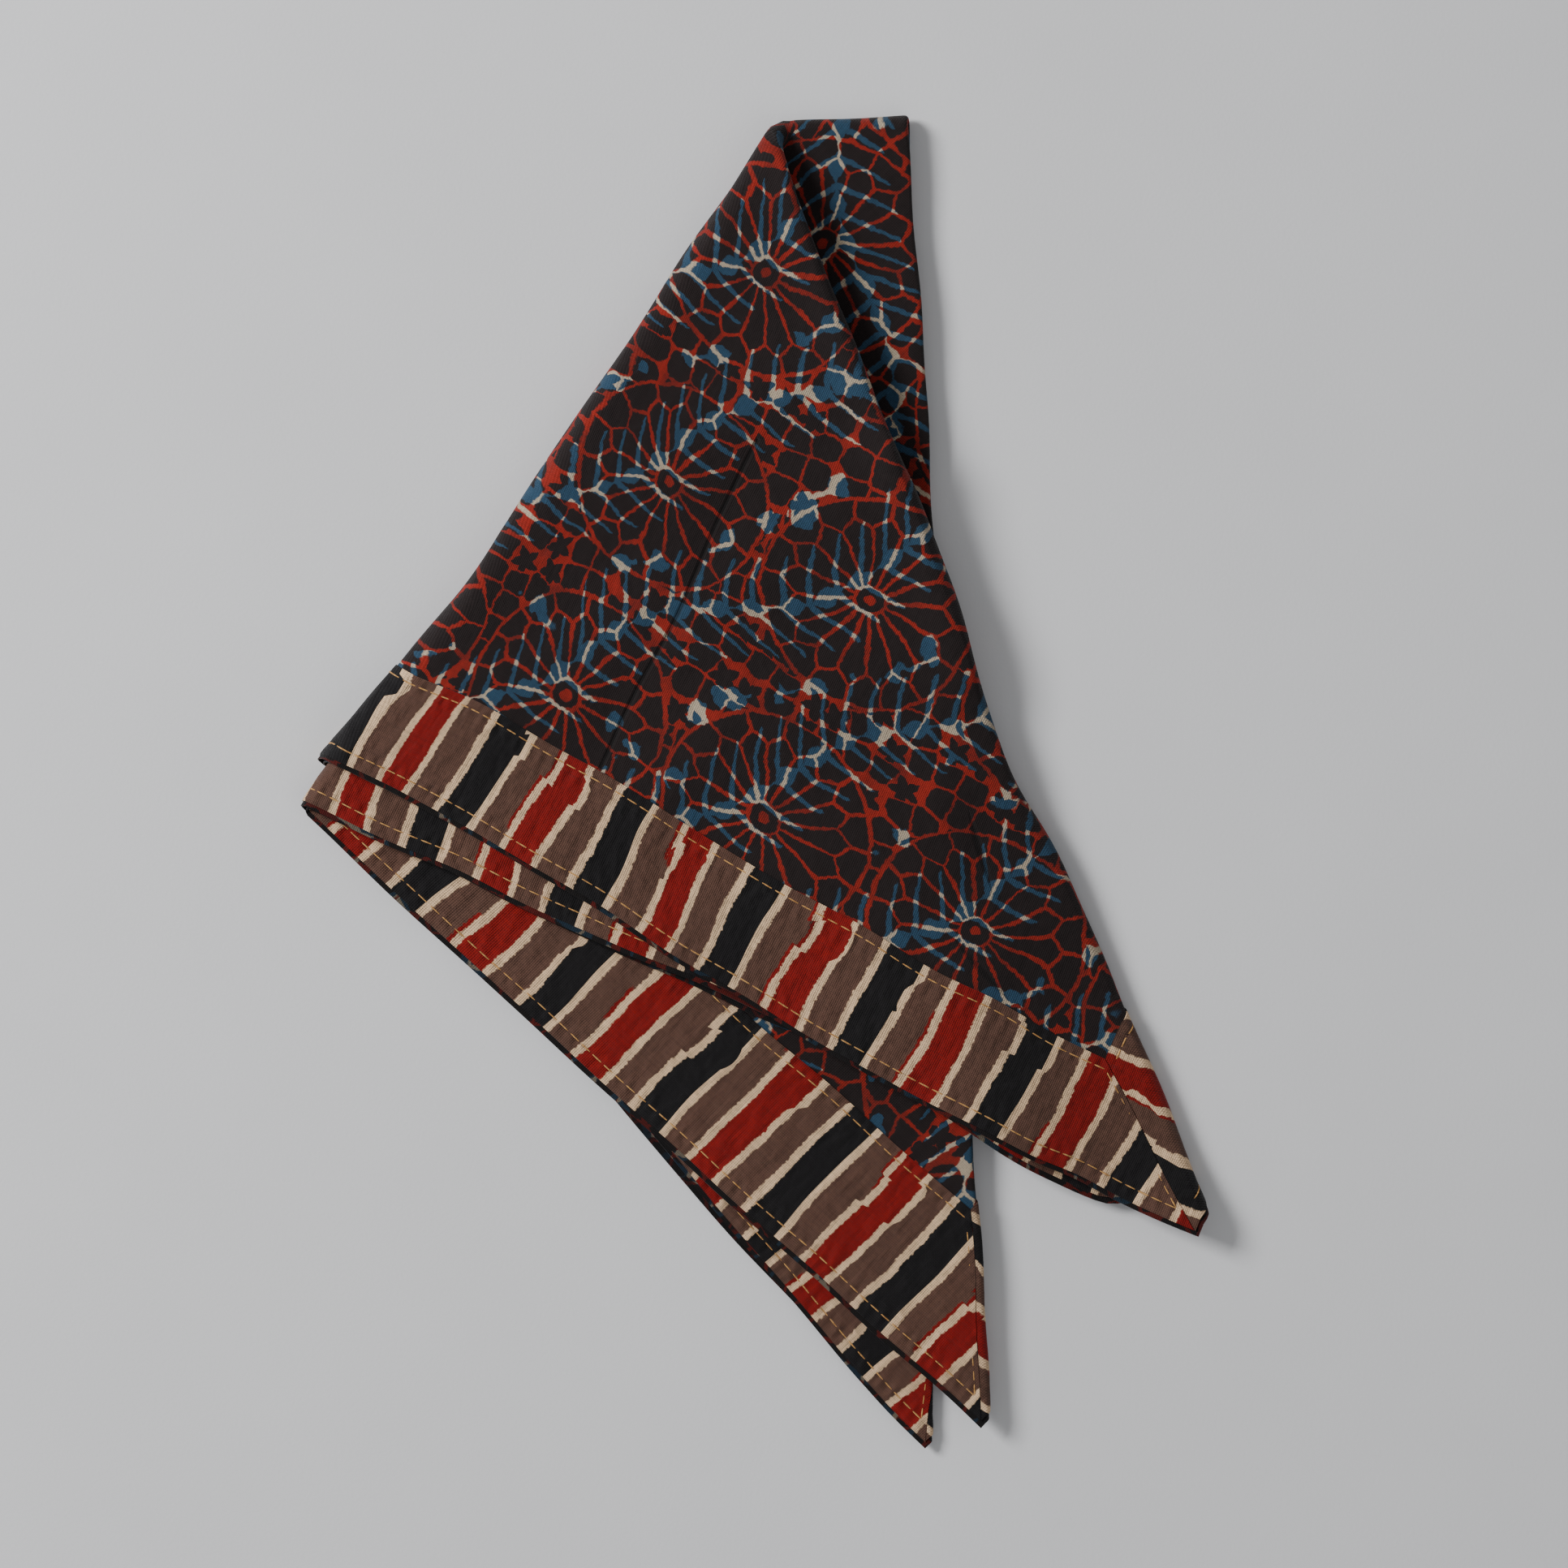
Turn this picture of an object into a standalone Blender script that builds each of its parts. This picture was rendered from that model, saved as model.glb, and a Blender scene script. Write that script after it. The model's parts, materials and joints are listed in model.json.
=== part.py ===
"""A square block-printed cloth with four mitred striped borders, folded into an eight-layer triangle.

The flat cloth is cut as a panel and four border strips. Three folds, each a bend of the whole
stack round its own line, then carry every point of the flat pieces to its place in the folded cloth.
"""

import math

import bmesh
import bpy
from mathutils import Matrix, Vector

# The cloth as it is cut, in metres
SIDE = 0.406
SHEET = 0.0010
JOIN_GAP = 0.0004
TOP_BORDER = 0.0275
BORDER = 0.0335
HALF_DIAGONAL = SIDE / math.sqrt(2)

# The layers as they lie: the height from one sheet's middle to the next
PITCH = 0.0014
LOWER_LAYERS = 4

# The square was laid a little askew and off centre before it was folded along its diagonals
ASKEW = math.radians(0.4)
OFF_ALONG = -0.0010
OFF_DOWN = 0.0002

# Radius at which each fold keeps the cloth's length, and where its axis stands
FOLD_1_RADIUS = 0.5 * PITCH
FOLD_1_AXIS = 0.5 * PITCH
FOLD_2_RADIUS = 1.0 * PITCH
FOLD_2_AXIS = 1.5 * PITCH
FOLD_2_ARC = math.pi * FOLD_2_RADIUS
FOLD_3_RADIUS = 2.0 * PITCH
FOLD_3_AXIS = 3.5 * PITCH
FOLD_3_ARC = math.pi * FOLD_3_RADIUS
TIGHT_STEPS = 6
ROUND_STEPS = 6

# The third fold runs from a point on the upper leg of the triangle, at this angle to that leg
FOLD_3_START = 0.0238
FOLD_3_ANGLE = math.radians(54.6)

# How far each pair of layers is turned about the cloth's centre at the right leg
UPPER_PAIR_TURN = math.radians(-1.9)
LOWER_PAIR_TURN = math.radians(0.7)
# How far each pair's hem is drawn in at the third fold
UPPER_PAIR_DRAWN = 0.0025
LOWER_PAIR_DRAWN = 0.0170
# How far the flap's long edge is moved in at the third fold, and how far out at its tip
FLAP_EDGE_IN = 0.0035
FLAP_TIP_OUT = 0.0030
FOLD_EASE = 0.020
# How far the second and third layers of the flap stop short of its outer tip
INNER_TIP_SHORT = 0.0070
# The lower end of the third fold flares outward
FLARE = 0.0055
FLARE_START = 0.120
FLARE_LENGTH = 0.055
FLARE_FADE = 0.070

# Beyond the lower layers the flap comes down to the surface over this distance
FALL_START = -0.002
FALL_LENGTH = 0.040
FALL_CUTS = 2

# Where the centre of the cloth lies, and which way its upper leg points
CENTRE_X = 0.032575
CENTRE_Y = 0.142236
UPPER_LEG_HEADING = math.radians(181.7)
BASE_HEIGHT = 0.5 * SHEET

GRID_STEP = 0.0145
BORDER_STEPS_ACROSS = 2

COLOURS = {
    "print": (0.035, 0.020, 0.018, 1.0),
    "stripes": (0.110, 0.065, 0.048, 1.0),
}


def smooth(value):
    """Rises from 0 to 1 with level ends as value goes from 0 to 1."""
    value = min(1.0, max(0.0, value))
    return value * value * (3.0 - 2.0 * value)


def bend(distance, height, axis, radius):
    """Carries a point round a fold: its distance past the fold line and its height, after the bend."""
    if distance <= 0.0:
        return distance, height
    arc = math.pi * radius
    if distance >= arc:
        return arc - distance, 2.0 * axis - height
    angle = distance / radius
    arm = axis - height
    return arm * math.sin(angle), axis - arm * math.cos(angle)


def fold_3_normal():
    """Unit vector across the third fold line, towards the flap, in leg coordinates."""
    return Vector((math.sin(FOLD_3_ANGLE), -math.cos(FOLD_3_ANGLE)))


def layer_shift(along, down, past, upper_pair, inner):
    """How far a point of the folded stack is moved in its plane, as the layers don't lie square."""
    reach = math.hypot(along, down)
    if reach == 0.0:
        return Vector((0.0, 0.0))
    angle = math.atan2(down, along)
    share = angle / (math.pi / 2)
    turn = (UPPER_PAIR_TURN if upper_pair else LOWER_PAIR_TURN) * smooth((share - 0.5) * 2.0)
    outward = Vector((along, down)) / reach
    sideways = Vector((outward.y, -outward.x))
    shift = sideways * (reach * turn)
    size = reach / (SIDE / 2)
    drawn = UPPER_PAIR_DRAWN if upper_pair else LOWER_PAIR_DRAWN
    shift -= outward * (drawn * size * math.sin(math.pi * min(1.0, max(0.0, share))) ** 2)
    swing = (1.0 - smooth(share * 2.0)) * smooth(past / FOLD_EASE)
    tip = reach / HALF_DIAGONAL
    short = INNER_TIP_SHORT * tip if inner else 0.0
    return shift + swing * Vector((-short, FLAP_EDGE_IN * (1.0 - tip) - FLAP_TIP_OUT * tip))


def to_world(along, down):
    """Turns leg coordinates into the part's own frame."""
    c, s = math.cos(UPPER_LEG_HEADING), math.sin(UPPER_LEG_HEADING)
    return CENTRE_X + along * c - down * s, CENTRE_Y + along * s + down * c


def flare(place):
    """How far the third fold's lower end is pushed outward at this place."""
    normal = fold_3_normal()
    from_start = place - Vector((FOLD_3_START, 0.0))
    down_fold = from_start.dot(Vector((-normal.y, normal.x)))
    low = smooth((down_fold - FLARE_START) / FLARE_LENGTH)
    return FLARE * low * smooth(1.0 - abs(from_start.dot(normal)) / FLARE_FADE)


def past_lower_edge(place):
    """Distance of a place to the right of the lower layers' right edge."""
    return place.y * math.sin(UPPER_PAIR_TURN) - place.x * math.cos(UPPER_PAIR_TURN)


def fall(past_edge):
    """How far the flap has come down at this distance beyond the lower layers' right edge."""
    return LOWER_LAYERS * PITCH * smooth((past_edge - FALL_START) / FALL_LENGTH)


def lay(point):
    """Carries a point of the flat cloth to its place and height in the stack, before the flap falls.

    Also gives how far past the third fold line it is.
    """
    across, down, height = point
    beyond, height = bend(-across, height, FOLD_1_AXIS, FOLD_1_RADIUS)
    along = -beyond
    inner = across < 0.0
    upper_pair = down < 0.0
    beyond, height = bend(-down, height, FOLD_2_AXIS, FOLD_2_RADIUS)
    down = -beyond
    normal = fold_3_normal()
    place = Vector((along, down))
    past = (place - Vector((FOLD_3_START, 0.0))).dot(normal)
    shift = layer_shift(max(0.0, along), max(0.0, down), past, upper_pair, inner)
    on_fold = place - normal * past
    bent, height = bend(past, height, FOLD_3_AXIS, FOLD_3_RADIUS)
    across_shift = shift.dot(normal)
    facing = smooth(-past / FOLD_EASE) - smooth((past - FOLD_3_ARC) / FOLD_EASE)
    place = on_fold + normal * bent + shift + normal * (across_shift * (facing - 1.0))
    return place + normal * flare(place), height, past


def folded(point):
    """Carries a point of the flat cloth to its place in the folded one."""
    place, height, past = lay(point)
    if past > FOLD_3_ARC / 2:
        height -= fall(past_lower_edge(place))
    x, y = to_world(place.x, place.y)
    return Vector((x, y, height + BASE_HEIGHT))


def cut(mesh, start, end, keep):
    """Adds an edge line through two points across the faces whose middle passes the keep test."""
    faces = [f for f in mesh.faces if keep(f.calc_center_median())]
    around = {e for f in faces for e in f.edges}
    corners = {v for f in faces for v in f.verts}
    bmesh.ops.bisect_plane(
        mesh,
        geom=[*faces, *around, *corners],
        dist=1e-6,
        plane_co=(start[0], start[1], 0.0),
        plane_no=(end[1] - start[1], start[0] - end[0], 0.0),
    )


def refine(mesh):
    """Divides the grid more finely where the flap comes down."""
    near = []
    for face in mesh.faces:
        place, _, past = lay(face.calc_center_median())
        beyond = past_lower_edge(place)
        if past > FOLD_3_ARC and -GRID_STEP < beyond - FALL_START < FALL_LENGTH + GRID_STEP:
            near.append(face)
    edges = list({edge for face in near for edge in face.edges})
    bmesh.ops.subdivide_edges(mesh, edges=edges, cuts=FALL_CUTS, use_grid_fill=True)


def crease_along_diagonals(mesh):
    """Cuts the flat piece along its first two folds, finely enough for each bend to be round."""
    for step in range(TIGHT_STEPS + 1):
        first = -math.pi * FOLD_1_RADIUS * step / TIGHT_STEPS
        second = -FOLD_2_ARC * step / TIGHT_STEPS
        cut(mesh, (first, 0.0), (first, 1.0), lambda middle: True)
        cut(mesh, (0.0, second), (1.0, second), lambda middle: True)


def crease_quarter(mesh, past, right, low):
    """Cuts one quarter of the flat piece where it lies this far past the third fold line."""
    normal = fold_3_normal()
    corner_x = 0.0 if right > 0 else -math.pi * FOLD_1_RADIUS
    corner_y = 0.0 if low > 0 else -FOLD_2_ARC
    start = Vector((FOLD_3_START, 0.0)) + normal * past
    end = start + Vector((-normal.y, normal.x))
    cut(
        mesh,
        (corner_x + right * start.x, corner_y + low * start.y),
        (corner_x + right * end.x, corner_y + low * end.y),
        lambda middle: (middle.x - corner_x) * right > 0 and (middle.y - corner_y) * low > 0,
    )


def crease_bend(mesh, past, right):
    """Cuts the round of the second fold where it lies this far past the third fold line."""
    arm = FOLD_2_AXIS if right > 0 else FOLD_2_AXIS - PITCH
    corner_x = 0.0 if right > 0 else -math.pi * FOLD_1_RADIUS
    points = []
    for step in range(TIGHT_STEPS + 1):
        bulge = arm * math.sin(math.pi * step / TIGHT_STEPS)
        along = FOLD_3_START + (past - bulge * math.cos(FOLD_3_ANGLE)) / math.sin(FOLD_3_ANGLE)
        points.append((corner_x + right * along, -FOLD_2_ARC * step / TIGHT_STEPS))
    for start, end in zip(points, points[1:]):

        def in_strip(middle, top=start[1], bottom=end[1]):
            return (middle.x - corner_x) * right > 0 and bottom < middle.y < top

        cut(mesh, start, end, in_strip)


def crease(mesh):
    """Cuts the flat piece along all its folds."""
    crease_along_diagonals(mesh)
    for step in range(ROUND_STEPS + 1):
        past = FOLD_3_ARC * step / ROUND_STEPS
        for right in (1, -1):
            crease_bend(mesh, past, right)
            for low in (1, -1):
                crease_quarter(mesh, past, right, low)


def material(name):
    """A plain cloth material."""
    made = bpy.data.materials.new(name)
    made.use_nodes = True
    shader = made.node_tree.nodes["Principled BSDF"]
    shader.inputs["Base Color"].default_value = COLOURS[name]
    shader.inputs["Roughness"].default_value = 0.9
    shader.inputs["Metallic"].default_value = 0.0
    return made


def fold_piece(name, mesh, dressing, collection):
    """Gives a flat piece its thickness and folds it."""
    turn = Matrix.Rotation(math.radians(45.0) + ASKEW, 4, "Z")
    off = Matrix.Translation((OFF_ALONG, OFF_DOWN, 0.0))
    bmesh.ops.transform(mesh, matrix=off @ turn, verts=mesh.verts)
    refine(mesh)
    crease(mesh)
    bmesh.ops.triangulate(mesh, faces=mesh.faces)
    flat = bpy.data.meshes.new(name + "_flat")
    mesh.to_mesh(flat)
    mesh.free()
    piece = bpy.data.objects.new(name, flat)
    collection.objects.link(piece)
    wall = piece.modifiers.new("thickness", "SOLIDIFY")
    wall.thickness = SHEET
    wall.offset = 0.0
    bpy.context.view_layer.update()
    evaluated = piece.evaluated_get(bpy.context.evaluated_depsgraph_get())
    thick = bpy.data.meshes.new_from_object(evaluated)
    piece.modifiers.clear()
    piece.data = thick
    bpy.data.meshes.remove(flat)
    thick.name = name
    for vertex in thick.vertices:
        vertex.co = folded(vertex.co)
    thick.materials.clear()
    thick.materials.append(dressing)
    thick.shade_smooth()
    thick.set_sharp_from_angle(angle=math.radians(40.0))
    return piece


def flat_panel():
    """The printed panel, in the square's own axes."""
    width = SIDE - BORDER - TOP_BORDER - 2.0 * JOIN_GAP
    length = SIDE - 2.0 * BORDER - 2.0 * JOIN_GAP
    mesh = bmesh.new()
    bmesh.ops.create_grid(
        mesh,
        x_segments=round(width / GRID_STEP),
        y_segments=round(length / GRID_STEP),
        size=0.5,
    )
    bmesh.ops.scale(mesh, vec=(width, length, 1.0), verts=mesh.verts)
    bmesh.ops.translate(mesh, vec=(0.5 * (BORDER - TOP_BORDER), 0.0, 0.0), verts=mesh.verts)
    return mesh


def flat_border(width, before, after, quarter_turns):
    """One border strip, mitred to meet its neighbours, along the side that the quarter turns reach."""
    mesh = bmesh.new()
    bmesh.ops.create_grid(
        mesh,
        x_segments=BORDER_STEPS_ACROSS,
        y_segments=round(SIDE / GRID_STEP),
        size=0.5,
    )
    mitre_gap = JOIN_GAP / math.sqrt(2)
    for vertex in mesh.verts:
        depth = (0.5 - vertex.co.x) * width
        low = mitre_gap - SIDE / 2 + depth * before / width
        high = SIDE / 2 - mitre_gap - depth * after / width
        share = vertex.co.y + 0.5
        vertex.co = Vector((SIDE / 2 - depth, low + share * (high - low), 0.0))
    turn = Matrix.Rotation(math.pi / 2 * quarter_turns, 4, "Z")
    bmesh.ops.transform(mesh, matrix=turn, verts=mesh.verts)
    return mesh


def build():
    """Builds the folded cloth: a panel and its four borders."""
    for obj in list(bpy.data.objects):
        bpy.data.objects.remove(obj)
    collection = bpy.data.collections.new("folded_cloth")
    bpy.context.scene.collection.children.link(collection)
    printed = material("print")
    striped = material("stripes")
    fold_piece("printed_panel", flat_panel(), printed, collection)
    borders = (
        ("border_flap_top", TOP_BORDER, BORDER, BORDER, 0),
        ("border_lower_second", BORDER, TOP_BORDER, BORDER, 1),
        ("border_flap_second", BORDER, BORDER, BORDER, 2),
        ("border_lower_top", BORDER, BORDER, TOP_BORDER, 3),
    )
    for name, width, before, after, quarter_turns in borders:
        fold_piece(name, flat_border(width, before, after, quarter_turns), striped, collection)


build()
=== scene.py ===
"""Dresses the folded block-printed cloth: its printed cotton, mitred striped borders and stitching.

Every piece is made flat, in the cut cloth's own axes, and one fold map then carries it to its place
in the folded stack, as in the part's solids. Lengths are in metres unless a name says otherwise.
"""

from __future__ import annotations

import json
import logging
import math
from dataclasses import dataclass
from enum import Enum

import bmesh
import bpy
import numpy as np
from mathutils import Matrix, Vector
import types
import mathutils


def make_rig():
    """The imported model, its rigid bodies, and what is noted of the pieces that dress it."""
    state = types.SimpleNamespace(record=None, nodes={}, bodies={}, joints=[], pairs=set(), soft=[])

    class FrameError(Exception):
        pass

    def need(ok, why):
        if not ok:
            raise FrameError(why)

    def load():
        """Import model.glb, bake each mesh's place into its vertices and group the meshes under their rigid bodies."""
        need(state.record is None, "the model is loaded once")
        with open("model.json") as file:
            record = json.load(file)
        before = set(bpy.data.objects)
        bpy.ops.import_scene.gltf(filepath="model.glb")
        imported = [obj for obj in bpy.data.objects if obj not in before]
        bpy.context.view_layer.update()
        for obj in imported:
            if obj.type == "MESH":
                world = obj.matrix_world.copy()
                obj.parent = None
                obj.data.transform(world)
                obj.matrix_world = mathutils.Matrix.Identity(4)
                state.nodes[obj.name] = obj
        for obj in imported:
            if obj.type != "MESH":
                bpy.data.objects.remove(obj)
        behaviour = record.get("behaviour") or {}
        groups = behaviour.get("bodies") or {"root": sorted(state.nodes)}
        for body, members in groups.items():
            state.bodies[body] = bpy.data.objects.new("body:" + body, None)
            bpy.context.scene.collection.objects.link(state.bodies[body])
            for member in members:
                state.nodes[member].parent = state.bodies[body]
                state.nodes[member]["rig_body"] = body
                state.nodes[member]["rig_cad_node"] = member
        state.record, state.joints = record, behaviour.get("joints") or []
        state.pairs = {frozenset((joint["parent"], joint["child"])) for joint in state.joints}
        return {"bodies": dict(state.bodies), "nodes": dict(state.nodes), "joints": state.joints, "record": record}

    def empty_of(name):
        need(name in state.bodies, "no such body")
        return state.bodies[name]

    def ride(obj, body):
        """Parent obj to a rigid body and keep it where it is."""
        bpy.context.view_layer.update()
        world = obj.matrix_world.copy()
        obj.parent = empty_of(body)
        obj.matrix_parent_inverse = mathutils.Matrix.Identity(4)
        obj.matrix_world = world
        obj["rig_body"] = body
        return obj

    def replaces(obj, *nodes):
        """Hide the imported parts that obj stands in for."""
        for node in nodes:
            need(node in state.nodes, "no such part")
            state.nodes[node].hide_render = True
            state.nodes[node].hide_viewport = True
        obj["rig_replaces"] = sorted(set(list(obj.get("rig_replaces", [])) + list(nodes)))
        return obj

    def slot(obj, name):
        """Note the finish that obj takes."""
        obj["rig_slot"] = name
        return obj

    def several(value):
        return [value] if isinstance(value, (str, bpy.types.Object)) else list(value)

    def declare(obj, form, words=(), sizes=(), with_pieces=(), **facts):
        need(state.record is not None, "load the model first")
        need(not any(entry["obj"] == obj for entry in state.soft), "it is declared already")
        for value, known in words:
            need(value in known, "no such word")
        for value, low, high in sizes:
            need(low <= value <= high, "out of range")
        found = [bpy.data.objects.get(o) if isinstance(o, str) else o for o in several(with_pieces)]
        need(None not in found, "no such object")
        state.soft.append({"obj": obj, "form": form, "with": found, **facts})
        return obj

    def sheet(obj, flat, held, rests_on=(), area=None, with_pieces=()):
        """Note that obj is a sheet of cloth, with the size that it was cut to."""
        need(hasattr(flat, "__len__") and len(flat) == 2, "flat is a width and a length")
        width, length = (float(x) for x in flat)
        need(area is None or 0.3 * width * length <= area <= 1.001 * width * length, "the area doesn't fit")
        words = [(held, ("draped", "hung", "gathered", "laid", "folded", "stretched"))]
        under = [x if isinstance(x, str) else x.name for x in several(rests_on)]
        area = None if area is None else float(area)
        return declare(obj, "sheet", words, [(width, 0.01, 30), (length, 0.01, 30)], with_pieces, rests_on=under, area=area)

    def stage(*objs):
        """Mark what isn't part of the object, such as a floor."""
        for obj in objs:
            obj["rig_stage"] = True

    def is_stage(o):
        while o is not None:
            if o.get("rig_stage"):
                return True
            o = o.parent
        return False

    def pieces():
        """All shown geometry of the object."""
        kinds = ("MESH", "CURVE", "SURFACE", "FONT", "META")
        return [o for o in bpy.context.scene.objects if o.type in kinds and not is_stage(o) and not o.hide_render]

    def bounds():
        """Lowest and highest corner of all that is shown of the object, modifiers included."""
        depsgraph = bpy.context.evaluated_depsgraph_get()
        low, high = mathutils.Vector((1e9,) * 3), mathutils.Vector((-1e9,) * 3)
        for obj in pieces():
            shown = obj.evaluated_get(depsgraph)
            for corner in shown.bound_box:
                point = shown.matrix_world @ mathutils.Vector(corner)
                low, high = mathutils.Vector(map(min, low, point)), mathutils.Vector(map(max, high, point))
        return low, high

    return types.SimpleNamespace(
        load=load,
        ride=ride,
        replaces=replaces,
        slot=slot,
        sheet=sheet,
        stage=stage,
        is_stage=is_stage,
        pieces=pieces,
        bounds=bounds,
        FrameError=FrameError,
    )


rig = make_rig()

LOG = logging.getLogger("folded_cloth")

SIDE = 0.406
HALF_SIDE = SIDE / 2
TOP_BORDER = 0.0275
BORDER = 0.0335
METRES_A_PIXEL = 0.0001765
FRAME_PIXELS = 1932
PHOTO_CENTRE_X = 0.00632
PHOTO_CENTRE_Y = -0.00031
MM = 0.001
THREAD_PITCH_MM = 0.42
DYE_EDGE_MM = 0.16
COTTON_SHEEN = 0.08
SHARP_ANGLE = math.radians(60.0)
SENSOR_MM = 36.0


def linear(red: int, green: int, blue: int) -> tuple[float, float, float, float]:
    """Turns a display colour into the linear one that a shader takes.

    Args:
        red: Display red, 0 to 255.
        green: Display green, 0 to 255.
        blue: Display blue, 0 to 255.

    Returns:
        The linear colour, with alpha 1.
    """

    def channel(value: int) -> float:
        share = value / 255
        return share / 12.92 if share <= 0.04045 else ((share + 0.055) / 1.055) ** 2.4

    return channel(red), channel(green), channel(blue), 1.0


def smooth(value: np.ndarray) -> np.ndarray:
    """Rises from 0 to 1 with level ends as the value goes from 0 to 1."""
    value = np.clip(value, 0.0, 1.0)
    return value * value * (3.0 - 2.0 * value)


def photo_place(across: float, down: float) -> tuple[float, float]:
    """Gives the place on the surface that a pixel of the photograph shows."""
    half = FRAME_PIXELS / 2
    return (
        PHOTO_CENTRE_X + (across - half) * METRES_A_PIXEL,
        PHOTO_CENTRE_Y - (down - half) * METRES_A_PIXEL,
    )


def linked(name: str, data: bpy.types.ID) -> bpy.types.Object:
    """Makes an object of this data and puts it in the scene."""
    thing = bpy.data.objects.new(name, data)
    bpy.context.scene.collection.objects.link(thing)
    return thing


def applied(piece: bpy.types.Object) -> bpy.types.Mesh:
    """Turns a piece with its modifiers into a plain mesh, and gives that mesh."""
    bpy.context.view_layer.update()
    evaluated = piece.evaluated_get(bpy.context.evaluated_depsgraph_get())
    mesh = bpy.data.meshes.new_from_object(evaluated)
    piece.modifiers.clear()
    piece.data = mesh
    return mesh


class Quarter(Enum):
    """The four sides of the square, by the layer of the folded stack that each becomes."""

    OUTER_LOW = 0
    INNER_LOW = 1
    INNER_HIGH = 2
    OUTER_HIGH = 3


@dataclass(frozen=True)
class Ridge:
    """A soft ridge of the flap, between two pixels of the photograph.

    Attributes:
        start: Pixel where the ridge starts.
        end: Pixel where it ends.
        width: Distance over which it fades to each side.
        height: How far it stands up.
    """

    start: tuple[float, float]
    end: tuple[float, float]
    width: float
    height: float


@dataclass(frozen=True)
class HemShift:
    """How far a side's hem lies out from, or in from, the plain fold map at one point along it.

    Attributes:
        side: The side of the square.
        along: Position along the side, from -1 to 1.
        out: Distance outward at that position.
        reach: Distance along the side over which it fades, as a share of half the side.
    """

    side: Quarter
    along: float
    out: float
    reach: float


@dataclass(frozen=True)
class Nudge:
    """A soft push of the flap, in its plane, round a pixel of the photograph.

    Attributes:
        centre: Pixel that is moved most.
        reach: Pixels from it over which the push fades.
        move: Pixels that it moves, right and down.
    """

    centre: tuple[float, float]
    reach: float
    move: tuple[float, float]


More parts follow.
